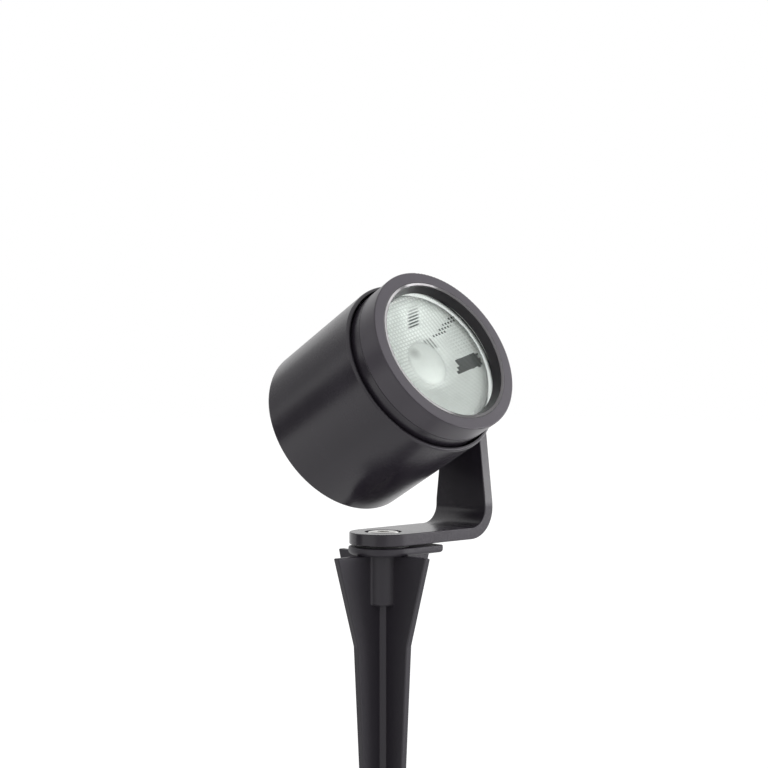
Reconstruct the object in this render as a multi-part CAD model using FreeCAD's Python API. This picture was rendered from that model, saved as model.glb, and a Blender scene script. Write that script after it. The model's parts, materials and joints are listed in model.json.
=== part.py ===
"""Garden spike spotlight: a round lamp head that tilts on a bent flat bracket, on a finned ground spike.

Millimetres and degrees. The origin is where the spike's axis meets the ground, at the underside of its flange.
+Z is up, +X points from the spike to the bracket's arm, and the lamp shines towards -Y.
Pieces of the lamp head are drawn about their own axis, with s measured forwards from the tilt axis, and then
tipped to the resting angle. One STEP file is written for each piece.
"""
import FreeCAD, Part
import math
import os

from FreeCAD import Placement, Rotation, Vector

# Ground spike
SPIKE_LENGTH = 185.0          # ground line to tip
FIN_THICKNESS = 2.4
FIN_TOP_REACH = 21.3          # from the axis to the outer edge of a fin, at the ground line
FIN_SHOULDER_REACH = 12.5     # the same where the steep taper ends
FIN_SHOULDER_DEPTH = 29.9
FIN_POINT_REACH = 4.4         # the same where the point begins
FIN_END_REACH = 0.9           # the blunt tip
POINT_LENGTH = 17.0
FIN_SHOULDER_ROUND = 4.0
FIN_EDGE_ROUND = 0.4
CORE_RADIUS = 3.0
BOSS_RADIUS = 6.5
BOSS_LENGTH = 17.0
BOSS_EDGE_ROUND = 1.0
BOSS_FIN_ROUND = 0.85         # hollow round between boss and fin
FLANGE_THICKNESS = 2.6
FLANGE_RADIUS = 11.7          # its round end, about the axis
FLANGE_REACH = 17.4           # its square end
FLANGE_CORNER_ROUND = 1.0
FLANGE_EDGE_ROUND = 0.5
FLANGE_UNDERSIDE_ROUND = 1.2

# Swivel at the top of the spike
SWIVEL_SCREW_RADIUS = 3.0
SWIVEL_SCREW_LENGTH = 16.0    # under the head
SWIVEL_HEAD_RADIUS = 5.2
SWIVEL_HEAD_HEIGHT = 2.25
SWIVEL_SOCKET_WIDTH = 4.0     # across flats
SWIVEL_SOCKET_DEPTH = 1.6
INSERT_WALL = 1.4
INSERT_LENGTH = 12.0
INSERT_GROOVE_DEPTH = 0.4
INSERT_GROOVE_LENGTH = 3.0
SWIVEL_WASHER_RADIUS = 9.0
SWIVEL_WASHER_THICKNESS = 0.75

# Bracket, one bent flat bar
BAR_THICKNESS = 4.0
BEND_INNER_RADIUS = 6.5
FOOT_RADIUS = 11.4            # its round end, about the swivel
BEND_HALF_WIDTH = 12.0        # the bar at its widest, where it bends
ARM_TIP_RADIUS = 7.2          # its round end, about the tilt axis
FOOT_FLARE_SETBACK = 3.0      # from the end of the foot's slight flare to the bend
FOOT_FLARE_ROUND = 60.0
ARM_TAPER_RISE = 1.5          # from the bend to the start of the arm's taper
ARM_TAPER_ROUND = 20.0
BAR_EDGE_ROUND = 0.35
COUNTERBORE_RADIUS = 6.25
COUNTERBORE_DEPTH = 2.3

# Where the head sits
HEAD_OFFSET = 3.4             # head's axis beyond the spike's axis, along +X
REST_TILT = 28.15             # head's axis above the horizon
SWING_CLEARANCE = 4.35        # foot to the head's widest swing
ARM_GAP = 3.0                 # sleeve to arm

# Outer sleeve
SLEEVE_RADIUS = 31.0
SLEEVE_WALL = 1.1
SLEEVE_FRONT = 17.7           # tilt axis to front rim
SLEEVE_REAR = 28.1            # tilt axis to back face
SLEEVE_BACK_THICKNESS = 2.0
SLEEVE_REAR_ROUND = 0.9
SLEEVE_RIM_ROUND = 0.8

# Sealed lamp housing
RIM_GAP = 0.9                 # dark ring between sleeve and housing
HOUSING_SHOW = 3.7            # housing in front of the sleeve's rim
HOUSING_FRONT_WALL = 3.5      # round the optic's chamber
HOUSING_MOUTH_WALL = 1.75     # round the bezel's threaded seat
HOUSING_MOUTH_DEPTH = 7.4
HOUSING_REAR_GAP = 1.9        # housing's rear part to the sleeve's bore
HOUSING_REAR_WALL = 2.5       # round the driver
WEB_THICKNESS = 8.0           # heat-sink web that carries the light source and the tilt bolt
LAND_HALF_LENGTH = 6.0        # where the housing seats in the sleeve
PART_LINE_ROUND = 0.2
COVER_THICKNESS = 2.0

# Bezel and window
BEZEL_DEPTH = 8.1             # part line to front face
BEZEL_SKIRT_LENGTH = 6.9
BEZEL_SKIRT_WALL = 1.8
BEZEL_LIP_DEPTH = 3.45        # front face to the lip's back
BEZEL_FACE_WIDTH = 5.0        # outer edge to the throat
BEZEL_THROAT_TAPER = 1.0      # the throat's narrowing from face to lip
BEZEL_EDGE_ROUND = 0.4
GASKET_THICKNESS = 0.4
GASKET_WIDTH = 1.7
GLASS_THICKNESS = 3.0
GLASS_EDGE_ROUND = 0.3

# Optic and its holder
OPTIC_RIM_THICKNESS = 1.6
OPTIC_FLANK_GAP = 1.7         # flank to the holder's bore, where it meets the rim
OPTIC_FOOT_RADIUS = 6.6
OPTIC_FLANK_BULGE = 1.9       # flank outside the straight cone
OPTIC_POCKET_RADIUS = 4.9     # over the light source
OPTIC_POCKET_DEPTH = 4.0
OPTIC_POCKET_CROWN = 1.0
OPTIC_WELL_RADIUS = 7.8       # in the front face
OPTIC_WELL_DEPTH = 4.2
OPTIC_WELL_CROWN = 1.8
HOLDER_WALL = 1.2
HOLDER_FOOT_THICKNESS = 1.5
HOLDER_FOOT_WIDTH = 9.0

# Light source
PAD_THICKNESS = 0.3
BOARD_THICKNESS = 1.6
CHIP_WIDTH = 13.5
CHIP_THICKNESS = 1.0
EMITTER_RADIUS = 4.2
EMITTER_CROWN = 0.6
BOARD_SCREW_RADIUS = 1.5
BOARD_SCREW_INSET = 4.0       # from the board's edge
BOARD_SCREW_HEAD_RADIUS = 2.75
BOARD_SCREW_HEAD_HEIGHT = 1.8
BOARD_SCREW_LENGTH = 6.5
LEAD_RADIUS = 0.8
LEAD_INSET = 3.5              # from the board's edge, on the side away from the tilt bolt
LEAD_SPACING = 6.0
LEAD_SOLDER_RADIUS = 1.5
LEAD_SOLDER_HEIGHT = 0.7

# Driver
DRIVER_BOARD_GAP = 0.5        # board to the cover's screw bosses
DRIVER_POST_LENGTH = 6.0
DRIVER_POST_RADIUS = 2.6
DRIVER_POST_INSET = 4.2       # from the board's edge
DRIVER_SCREW_RADIUS = 1.25
DRIVER_SCREW_HEAD_RADIUS = 2.2
DRIVER_SCREW_HEAD_HEIGHT = 1.5
DRIVER_SCREW_LENGTH = 6.0
INDUCTOR_RADIUS = 4.5
INDUCTOR_HEIGHT = 6.5
INDUCTOR_WAIST = 3.4
INDUCTOR_CHEEK = 1.2
CAPACITOR_RADIUS = 3.0
CAPACITOR_HEIGHT = 6.0
DRIVER_CHIP_SIZE = (6.0, 5.0, 1.5)
COVER_SCREW_INSET = 2.6       # from the driver's chamber wall
COVER_SCREW_RADIUS = 1.25
COVER_SCREW_HEAD_RADIUS = 2.4
COVER_SCREW_LENGTH = 8.0
COVER_BOSS_RADIUS = 3.2
COVER_BOSS_LENGTH = 10.0

# Round seals
BEZEL_SEAL_RADIUS = 0.5       # half its thickness
BEZEL_SEAL_SETBACK = 2.1      # from the part line
COVER_SEAL_RADIUS = 0.48
SEAL_GROOVE_WIDTH = 1.25
SEAL_GROOVE_DEPTH = 1.0

# Cord gland at the back
GLAND_THREAD_RADIUS = 6.0
GLAND_BORE = 3.3
CORD_RADIUS = 3.0             # the seal's bore takes a 6 mm cord
GLAND_HEX_WIDTH = 15.0
GLAND_HEX_THICKNESS = 3.0
GLAND_STUB_RADIUS = 5.6
GLAND_STUB_LENGTH = 5.0
GLAND_SEAL_WALL = 1.65
GLAND_SEAL_LENGTH = 7.4       # its wide part
GLAND_SEAL_SEAT = 0.6         # the seal's seat beyond the hexagon
GLAND_NOSE_WALL = 1.0         # the seal's nose shows in the cap's mouth
GLAND_NOSE_LENGTH = 1.6
GLAND_CAP_RADIUS = 7.4
GLAND_CAP_GRIP_WIDTH = 14.0
GLAND_CAP_LENGTH = 10.2
GLAND_CAP_END_WALL = 2.1
GLAND_CAP_ROUND = 2.4
GLAND_WASHER_THICKNESS = 0.5
LOCKNUT_WIDTH = 17.0
LOCKNUT_THICKNESS = 3.5

# Tilt bolt
PIVOT_RADIUS = 3.0
PIVOT_THREAD_DEPTH = 12.0     # in the web, from the sleeve's bore
PIVOT_HEAD_RADIUS = 5.0
PIVOT_HEAD_HEIGHT = 4.0
PIVOT_SOCKET_WIDTH = 4.0
PIVOT_SOCKET_DEPTH = 2.4
PIVOT_WASHER_RADIUS = 6.2
PIVOT_WASHER_THICKNESS = 1.6
LOCK_WASHER_RADIUS = 5.4
LOCK_WASHER_THICKNESS = 1.4
LOCK_WASHER_SPLIT = 0.8
FRICTION_WASHER_THICKNESS = 0.95
SPACER_RADIUS = 7.0

# Clearances
RUNNING = 0.05                # between pieces that turn on each other
LOOSE = 0.1                   # between pieces that are only assembled
SCREW_HOLE = 0.2              # round a screw's shank
BEYOND = 5.0                  # how far a cutting tool runs past a face

# Places worked out from the sizes above
FOOT_BOTTOM = FLANGE_THICKNESS + SWIVEL_WASHER_THICKNESS + RUNNING
FOOT_TOP = FOOT_BOTTOM + BAR_THICKNESS
SLEEVE_BORE = SLEEVE_RADIUS - SLEEVE_WALL
HOUSING_RADIUS = SLEEVE_BORE - RIM_GAP
HOUSING_BORE = HOUSING_RADIUS - HOUSING_FRONT_WALL
HOUSING_MOUTH_BORE = HOUSING_RADIUS - HOUSING_MOUTH_WALL
HOUSING_REAR_RADIUS = SLEEVE_BORE - HOUSING_REAR_GAP
DRIVER_BORE = HOUSING_REAR_RADIUS - HOUSING_REAR_WALL
PART_LINE = SLEEVE_FRONT + HOUSING_SHOW
BEZEL_FRONT = PART_LINE + BEZEL_DEPTH
BEZEL_SKIRT_RADIUS = HOUSING_MOUTH_BORE - RUNNING
BEZEL_SKIRT_BORE = BEZEL_SKIRT_RADIUS - BEZEL_SKIRT_WALL
BEZEL_FRONT_APERTURE = HOUSING_RADIUS - BEZEL_FACE_WIDTH
BEZEL_LIP_APERTURE = BEZEL_FRONT_APERTURE - BEZEL_THROAT_TAPER
LIP_BACK = BEZEL_FRONT - BEZEL_LIP_DEPTH
GLASS_RADIUS = BEZEL_SKIRT_BORE - LOOSE
GLASS_FRONT = LIP_BACK - GASKET_THICKNESS
GLASS_BACK = GLASS_FRONT - GLASS_THICKNESS
OPTIC_FRONT = GLASS_BACK - LOOSE
OPTIC_SEAT = OPTIC_FRONT - OPTIC_RIM_THICKNESS
HOLDER_RADIUS = min(HOUSING_BORE, BEZEL_SKIRT_BORE) - 2 * LOOSE
HOLDER_BORE = HOLDER_RADIUS - HOLDER_WALL
OPTIC_RADIUS = BEZEL_SKIRT_BORE - 4 * LOOSE
OPTIC_FLANK_RADIUS = HOLDER_BORE - OPTIC_FLANK_GAP
LED_BOARD_RADIUS = HOLDER_RADIUS - HOLDER_FOOT_WIDTH - 2 * LOOSE
COVER_SCREW_PLACE = DRIVER_BORE - COVER_SCREW_INSET
DRIVER_BOARD_RADIUS = COVER_SCREW_PLACE - COVER_BOSS_RADIUS - DRIVER_BOARD_GAP
DRIVER_POST_PLACE = DRIVER_BOARD_RADIUS - DRIVER_POST_INSET
WEB_FRONT = WEB_THICKNESS / 2
WEB_REAR = -WEB_THICKNESS / 2
BOARD_BACK = WEB_FRONT + PAD_THICKNESS
BOARD_FRONT = BOARD_BACK + BOARD_THICKNESS
CHIP_FRONT = BOARD_FRONT + CHIP_THICKNESS
OPTIC_FOOT = CHIP_FRONT + 3 * LOOSE
COVER_REAR = -SLEEVE_REAR + SLEEVE_BACK_THICKNESS + LOOSE
HOUSING_REAR = COVER_REAR + COVER_THICKNESS
DRIVER_FRONT = WEB_REAR - DRIVER_POST_LENGTH
DRIVER_REAR = DRIVER_FRONT - BOARD_THICKNESS
GLAND_HEX_FRONT = -SLEEVE_REAR - GLAND_WASHER_THICKNESS
GLAND_HEX_REAR = GLAND_HEX_FRONT - GLAND_HEX_THICKNESS
GLAND_STUB_END = GLAND_HEX_REAR - GLAND_STUB_LENGTH
GLAND_SEAL_FRONT = GLAND_HEX_REAR - GLAND_SEAL_SEAT
GLAND_SEAL_RADIUS = CORD_RADIUS + GLAND_SEAL_WALL
GLAND_NOSE_RADIUS = CORD_RADIUS + GLAND_NOSE_WALL
GLAND_CAP_FRONT = GLAND_HEX_REAR - 3 * LOOSE
GLAND_CAP_END = GLAND_CAP_FRONT - GLAND_CAP_LENGTH
SWING_RADIUS = max(
    math.hypot(SLEEVE_RADIUS, SLEEVE_REAR),
    math.hypot(SLEEVE_RADIUS, SLEEVE_FRONT),
    math.hypot(HOUSING_RADIUS, BEZEL_FRONT),
    math.hypot(GLAND_CAP_RADIUS, GLAND_CAP_END),
)
PIVOT_HEIGHT = FOOT_TOP + SWING_RADIUS + SWING_CLEARANCE
ARM_INNER = HEAD_OFFSET + SLEEVE_RADIUS + ARM_GAP
ARM_OUTER = ARM_INNER + BAR_THICKNESS
SPACER_OUTER = ARM_GAP - FRICTION_WASHER_THICKNESS - RUNNING + SLEEVE_RADIUS
ARM_FACE = SLEEVE_RADIUS + ARM_GAP + BAR_THICKNESS
PIVOT_WASHER_OUTER = ARM_FACE + RUNNING + PIVOT_WASHER_THICKNESS
PIVOT_HEAD_FACE = PIVOT_WASHER_OUTER + LOCK_WASHER_THICKNESS
PIVOT_BOLT_END = SLEEVE_BORE - PIVOT_THREAD_DEPTH

ORIGIN = Vector(0, 0, 0)
X_AXIS = Vector(1, 0, 0)
Z_AXIS = Vector(0, 0, 1)
HEAD_PLACE = Placement(Vector(HEAD_OFFSET, 0, PIVOT_HEIGHT), Rotation(X_AXIS, 90 - REST_TILT))


# Drawing tools

def in_plan(across, along):
    return Vector(across, along, 0)


def in_side(across, up):
    return Vector(across, 0, up)


def in_end(across, up):
    return Vector(0, across, up)


def face_of(corners, place):
    """Flat face between straight runs; a corner's third number is the radius that rounds it."""
    runs = []
    arcs = []
    for index, corner in enumerate(corners):
        here = Vector(corner[0], corner[1], 0)
        before = Vector(corners[index - 1][0], corners[index - 1][1], 0)
        after = Vector(corners[(index + 1) % len(corners)][0], corners[(index + 1) % len(corners)][1], 0)
        radius = corner[2] if len(corner) > 2 else 0
        back = (before - here).normalize()
        ahead = (after - here).normalize()
        half_turn = back.getAngle(ahead) / 2
        setback = radius / math.tan(half_turn)
        start = here + back * setback
        end = here + ahead * setback
        runs.append((start, end))
        if radius > 0:
            inward = (back + ahead).normalize()
            middle = here + inward * (radius / math.sin(half_turn) - radius)
            arcs.append([place(*point[:2]) for point in (start, middle, end)])
        else:
            arcs.append(None)
    edges = []
    for index, arc in enumerate(arcs):
        if arc:
            edges.append(Part.Arc(*arc).toShape())
        run_start = place(*runs[index][1][:2])
        run_end = place(*runs[(index + 1) % len(runs)][0][:2])
        if run_start.distanceToPoint(run_end) > 1e-6:
            edges.append(Part.LineSegment(run_start, run_end).toShape())
    return Part.Face(Part.Wire(edges))


def turned(corners):
    """Solid of revolution about the head's axis, from corners of radius and s."""
    return face_of(corners, in_side).revolve(ORIGIN, Z_AXIS, 360)


def rod(radius, start, end, x=0.0, y=0.0):
    """Cylinder along Z between two heights."""
    return Part.makeCylinder(radius, end - start, Vector(x, y, start), Z_AXIS)


def tube(inner, outer, start, end):
    return rod(outer, start, end).cut(rod(inner, start - BEYOND, end + BEYOND))


def cross_rod(radius, start, end):
    """Cylinder along X between two distances from the head's axis."""
    return Part.makeCylinder(radius, end - start, Vector(start, 0, 0), X_AXIS)


def cross_tube(inner, outer, start, end):
    return cross_rod(outer, start, end).cut(cross_rod(inner, start - BEYOND, end + BEYOND))


def hexagon(width, start, end):
    """Hexagonal bar along Z, from its width across flats."""
    corner = width / math.sqrt(3)
    points = [Vector(corner * math.cos(math.radians(60 * n)), corner * math.sin(math.radians(60 * n)), start)
              for n in range(7)]
    return Part.Face(Part.makePolygon(points)).extrude(Vector(0, 0, end - start))


def ring_of(count, radius, first=0.0):
    """Points evenly spaced round the axis."""
    angles = [math.radians(first + 360 * n / count) for n in range(count)]
    return [(radius * math.cos(angle), radius * math.sin(angle)) for angle in angles]


def crown(radius, base, height):
    """Shallow dome on a round base, its top at base + height."""
    ball = (radius * radius + height * height) / (2 * height)
    sphere = Part.makeSphere(ball, Vector(0, 0, base + height - ball))
    return sphere.common(rod(2 * radius, base, base + height))


def tangent_half_width(far, half_width, radius):
    """Half-width, one radius short of a round end's centre, of the side that joins it to a wider place."""
    flare = math.atan2(half_width, far) - math.asin(radius / math.hypot(far, half_width))
    return half_width - (far + radius) * math.tan(flare)


# Ground spike and swivel

def fin_pair(place, across):
    """Two opposite fins as one tapering plate through the axis."""
    shoulder = -FIN_SHOULDER_DEPTH
    point = -(SPIKE_LENGTH - POINT_LENGTH)
    right = [
        (FIN_END_REACH, -SPIKE_LENGTH),
        (FIN_POINT_REACH, point),
        (FIN_SHOULDER_REACH, shoulder, FIN_SHOULDER_ROUND),
        (FIN_TOP_REACH, 0, FIN_EDGE_ROUND),
    ]
    left = [(-corner[0],) + corner[1:] for corner in reversed(right)]
    plate = face_of(right + left, place)
    plate.translate(across * (-FIN_THICKNESS / 2))
    plate = plate.extrude(across * FIN_THICKNESS)
    rims = [edge for edge in plate.Edges if edge.BoundBox.DiagonalLength > FIN_THICKNESS * 1.5
            and abs(edge.CenterOfMass.dot(across)) > FIN_THICKNESS * 0.49
            and edge.BoundBox.ZMin < -2 * FIN_EDGE_ROUND]
    return plate.makeFillet(FIN_EDGE_ROUND, rims)


def flange():
    outline = face_of([
        (-FLANGE_RADIUS, -FLANGE_RADIUS, FLANGE_RADIUS),
        (FLANGE_REACH, -FLANGE_RADIUS, FLANGE_CORNER_ROUND),
        (FLANGE_REACH, FLANGE_RADIUS, FLANGE_CORNER_ROUND),
        (-FLANGE_RADIUS, FLANGE_RADIUS, FLANGE_RADIUS),
    ], in_plan)
    plate = outline.extrude(Vector(0, 0, FLANGE_THICKNESS))
    top_rim = [edge for edge in plate.Edges if edge.BoundBox.ZMin > FLANGE_THICKNESS * 0.99]
    plate = plate.makeFillet(FLANGE_EDGE_ROUND, top_rim)
    bottom_rim = [edge for edge in plate.Edges if edge.BoundBox.ZMax < FLANGE_THICKNESS * 0.01]
    return plate.makeFillet(FLANGE_UNDERSIDE_ROUND, bottom_rim)


def boss():
    """Round boss with hollow rounds towards the four fins."""
    reach = BOSS_RADIUS + 3 * BOSS_FIN_ROUND
    half = FIN_THICKNESS / 2
    plan = Part.Face(Part.Wire(Part.makeCircle(BOSS_RADIUS)))
    for across, along in ((reach, half), (half, reach)):
        corners = [(-across, -along), (across, -along), (across, along), (-across, along)]
        plan = plan.fuse(face_of(corners, in_plan))
    plan = plan.removeSplitter().Faces[0]
    for distance in (BOSS_FIN_ROUND, -BOSS_FIN_ROUND):
        plan = plan.makeOffset2D(distance, 0, False, False, False).Faces[0]
    plan.translate(Vector(0, 0, -BOSS_LENGTH))
    block = plan.extrude(Vector(0, 0, BOSS_LENGTH))
    bottom_rim = [edge for edge in block.Edges if edge.BoundBox.ZMax < -BOSS_LENGTH * 0.99]
    return block.makeFillet(BOSS_EDGE_ROUND, bottom_rim)


def ground_spike():
    point = -(SPIKE_LENGTH - POINT_LENGTH)
    core = turned([
        (0, -SPIKE_LENGTH), (FIN_END_REACH, -SPIKE_LENGTH), (CORE_RADIUS, point), (CORE_RADIUS, 0), (0, 0),
    ])
    fins_across_x = fin_pair(in_side, Vector(0, 1, 0))
    fins_across_y = fin_pair(in_end, Vector(1, 0, 0))
    body = flange().multiFuse([fins_across_x, fins_across_y, core, boss()])
    insert_hole = rod(SWIVEL_SCREW_RADIUS + INSERT_WALL, FLANGE_THICKNESS - INSERT_LENGTH, FLANGE_THICKNESS + BEYOND)
    screw_end = FOOT_TOP - COUNTERBORE_DEPTH + RUNNING - SWIVEL_SCREW_LENGTH
    screw_hole = rod(SWIVEL_SCREW_RADIUS + SCREW_HOLE, screw_end - 1.0, FLANGE_THICKNESS)
    return body.cut(insert_hole).cut(screw_hole).removeSplitter()


def spike_insert():
    top = FLANGE_THICKNESS
    bottom = top - INSERT_LENGTH
    groove_low = (top + bottom - INSERT_GROOVE_LENGTH) / 2
    groove_high = groove_low + INSERT_GROOVE_LENGTH
    outer = SWIVEL_SCREW_RADIUS + INSERT_WALL
    waist = outer - INSERT_GROOVE_DEPTH
    return turned([
        (SWIVEL_SCREW_RADIUS, bottom), (outer, bottom), (outer, groove_low), (waist, groove_low),
        (waist, groove_high), (outer, groove_high), (outer, top), (SWIVEL_SCREW_RADIUS, top),
    ])


def swivel_washer():
    inner = SWIVEL_SCREW_RADIUS + RUNNING
    return tube(inner, SWIVEL_WASHER_RADIUS, FLANGE_THICKNESS, FLANGE_THICKNESS + SWIVEL_WASHER_THICKNESS)


def swivel_screw():
    seat = FOOT_TOP - COUNTERBORE_DEPTH + RUNNING
    top = seat + SWIVEL_HEAD_HEIGHT
    screw = turned([
        (0, seat - SWIVEL_SCREW_LENGTH), (SWIVEL_SCREW_RADIUS, seat - SWIVEL_SCREW_LENGTH),
        (SWIVEL_SCREW_RADIUS, seat), (SWIVEL_HEAD_RADIUS, seat), (SWIVEL_HEAD_RADIUS, top, 0.6), (0, top),
    ])
    return screw.cut(hexagon(SWIVEL_SOCKET_WIDTH, top - SWIVEL_SOCKET_DEPTH, top + BEYOND))


# Bracket

def bracket():
    """A flat bar bent once; its plan and its end view are cut from the bent bar."""
    start = -FOOT_RADIUS
    top = PIVOT_HEIGHT + ARM_TIP_RADIUS
    bent_bar = face_of([
        (start, FOOT_BOTTOM),
        (ARM_OUTER, FOOT_BOTTOM, BEND_INNER_RADIUS + BAR_THICKNESS),
        (ARM_OUTER, top),
        (ARM_INNER, top),
        (ARM_INNER, FOOT_TOP, BEND_INNER_RADIUS),
        (start, FOOT_TOP),
    ], in_side)
    widest = max(BEND_HALF_WIDTH, FOOT_RADIUS) + BEYOND
    bent_bar.translate(Vector(0, -widest, 0))
    bent_bar = bent_bar.extrude(Vector(0, 2 * widest, 0))
    flare_end = ARM_INNER - BEND_INNER_RADIUS - FOOT_FLARE_SETBACK
    foot_side = tangent_half_width(flare_end, BEND_HALF_WIDTH, FOOT_RADIUS)
    foot_plan = face_of([
        (start, -foot_side, FOOT_RADIUS),
        (flare_end, -BEND_HALF_WIDTH, FOOT_FLARE_ROUND),
        (ARM_OUTER + BEYOND, -BEND_HALF_WIDTH),
        (ARM_OUTER + BEYOND, BEND_HALF_WIDTH),
        (flare_end, BEND_HALF_WIDTH, FOOT_FLARE_ROUND),
        (start, foot_side, FOOT_RADIUS),
    ], in_plan).extrude(Vector(0, 0, top + BEYOND))
    taper_start = FOOT_TOP + BEND_INNER_RADIUS + ARM_TAPER_RISE
    tip_side = tangent_half_width(PIVOT_HEIGHT - taper_start, BEND_HALF_WIDTH, ARM_TIP_RADIUS)
    arm_view = face_of([
        (-BEND_HALF_WIDTH, 0),
        (BEND_HALF_WIDTH, 0),
        (BEND_HALF_WIDTH, taper_start, ARM_TAPER_ROUND),
        (tip_side, top, ARM_TIP_RADIUS),
        (-tip_side, top, ARM_TIP_RADIUS),
        (-BEND_HALF_WIDTH, taper_start, ARM_TAPER_ROUND),
    ], in_end)
    arm_view.translate(Vector(start - BEYOND, 0, 0))
    arm_view = arm_view.extrude(Vector(ARM_OUTER - start + 2 * BEYOND, 0, 0))
    bar = bent_bar.common(foot_plan).common(arm_view).removeSplitter()
    bar = bar.makeFillet(BAR_EDGE_ROUND, bar.Edges)
    swivel_hole = rod(SWIVEL_SCREW_RADIUS + RUNNING, FOOT_BOTTOM - BEYOND, FOOT_TOP + BEYOND)
    counterbore = rod(COUNTERBORE_RADIUS, FOOT_TOP - COUNTERBORE_DEPTH, FOOT_TOP + BEYOND)
    tilt_hole = Part.makeCylinder(PIVOT_RADIUS + RUNNING, BAR_THICKNESS + 2 * BEYOND,
                                  Vector(ARM_INNER - BEYOND, 0, PIVOT_HEIGHT), X_AXIS)
    return bar.cut(swivel_hole).cut(counterbore).cut(tilt_hole)


# Sleeve and sealed housing

def outer_sleeve():
    gland_hole = GLAND_THREAD_RADIUS + LOOSE
    shell = turned([
        (gland_hole, -SLEEVE_REAR),
        (SLEEVE_RADIUS, -SLEEVE_REAR, SLEEVE_REAR_ROUND),
        (SLEEVE_RADIUS, SLEEVE_FRONT, min(SLEEVE_RIM_ROUND, 0.75 * SLEEVE_WALL)),
        (SLEEVE_BORE, SLEEVE_FRONT),
        (SLEEVE_BORE, -SLEEVE_REAR + SLEEVE_BACK_THICKNESS),
        (gland_hole, -SLEEVE_REAR + SLEEVE_BACK_THICKNESS),
    ])
    return shell.cut(cross_rod(PIVOT_RADIUS + SCREW_HOLE, 0, SLEEVE_RADIUS + BEYOND))


def lamp_housing():
    land = SLEEVE_BORE - RUNNING
    body = turned([
        (HOUSING_MOUTH_BORE, PART_LINE),
        (HOUSING_RADIUS, PART_LINE, PART_LINE_ROUND),
        (HOUSING_RADIUS, LAND_HALF_LENGTH),
        (land, LAND_HALF_LENGTH),
        (land, -LAND_HALF_LENGTH),
        (HOUSING_REAR_RADIUS, -LAND_HALF_LENGTH),
        (HOUSING_REAR_RADIUS, HOUSING_REAR),
        (DRIVER_BORE, HOUSING_REAR),
        (DRIVER_BORE, WEB_REAR),
        (0, WEB_REAR),
        (0, WEB_FRONT),
        (HOUSING_BORE, WEB_FRONT),
        (HOUSING_BORE, PART_LINE - HOUSING_MOUTH_DEPTH),
        (HOUSING_MOUTH_BORE, PART_LINE - HOUSING_MOUTH_DEPTH),
    ])
    boss_front = HOUSING_REAR + COVER_BOSS_LENGTH
    for x, y in ring_of(3, COVER_SCREW_PLACE, 60):
        body = body.fuse(rod(COVER_BOSS_RADIUS, HOUSING_REAR, boss_front, x, y))
        body = body.cut(rod(COVER_SCREW_RADIUS, HOUSING_REAR - BEYOND, boss_front - 1.0, x, y))
    for x, y in ring_of(3, DRIVER_POST_PLACE, 0):
        body = body.fuse(rod(DRIVER_POST_RADIUS, DRIVER_FRONT, WEB_REAR, x, y))
        thread_end = DRIVER_REAR + DRIVER_SCREW_LENGTH
        body = body.cut(rod(DRIVER_SCREW_RADIUS, DRIVER_FRONT - BEYOND, thread_end, x, y))
    for x, y in board_screw_places():
        thread_end = BOARD_FRONT - BOARD_SCREW_LENGTH
        body = body.cut(rod(BOARD_SCREW_RADIUS, thread_end, WEB_FRONT + BEYOND, x, y))
    for x, y in lead_places():
        body = body.cut(rod(LEAD_RADIUS + SCREW_HOLE, WEB_REAR - BEYOND, WEB_FRONT + BEYOND, x, y))
    body = body.cut(cross_rod(PIVOT_RADIUS, PIVOT_BOLT_END, SLEEVE_RADIUS))
    groove_middle = (DRIVER_BORE + HOUSING_REAR_RADIUS) / 2
    groove = tube(groove_middle - SEAL_GROOVE_WIDTH / 2, groove_middle + SEAL_GROOVE_WIDTH / 2,
                  HOUSING_REAR - BEYOND, HOUSING_REAR + SEAL_GROOVE_DEPTH)
    return body.cut(groove).removeSplitter()


def driver_cover():
    plate = tube(GLAND_THREAD_RADIUS + LOOSE, HOUSING_REAR_RADIUS, COVER_REAR, HOUSING_REAR)
    for x, y in ring_of(3, COVER_SCREW_PLACE, 60):
        plate = plate.cut(rod(COVER_SCREW_RADIUS + SCREW_HOLE, COVER_REAR - BEYOND, HOUSING_REAR + BEYOND, x, y))
        sink = countersink(COVER_SCREW_HEAD_RADIUS, COVER_SCREW_RADIUS, COVER_REAR)
        sink.translate(Vector(x, y, 0))
        plate = plate.cut(sink)
    return plate


def countersink(wide, narrow, face):
    """Cone with its wide end on a face that looks backwards."""
    return Part.makeCone(wide, narrow, wide - narrow, Vector(0, 0, face), Z_AXIS)


def cover_screws():
    screws = []
    for x, y in ring_of(3, COVER_SCREW_PLACE, 60):
        screw = countersink(COVER_SCREW_HEAD_RADIUS, COVER_SCREW_RADIUS, COVER_REAR)
        screw = screw.fuse(rod(COVER_SCREW_RADIUS, COVER_REAR, COVER_REAR + COVER_SCREW_LENGTH))
        screw = screw.cut(hexagon(COVER_SCREW_RADIUS * 1.3, COVER_REAR - BEYOND, COVER_REAR + 0.9))
        screw.translate(Vector(x, y, 0))
        screws.append(screw.removeSplitter())
    return Part.makeCompound(screws)


def cover_oring():
    middle = (DRIVER_BORE + HOUSING_REAR_RADIUS) / 2
    return Part.makeTorus(middle, COVER_SEAL_RADIUS, Vector(0, 0, HOUSING_REAR + COVER_SEAL_RADIUS), Z_AXIS)


# Bezel, window and optic

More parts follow.
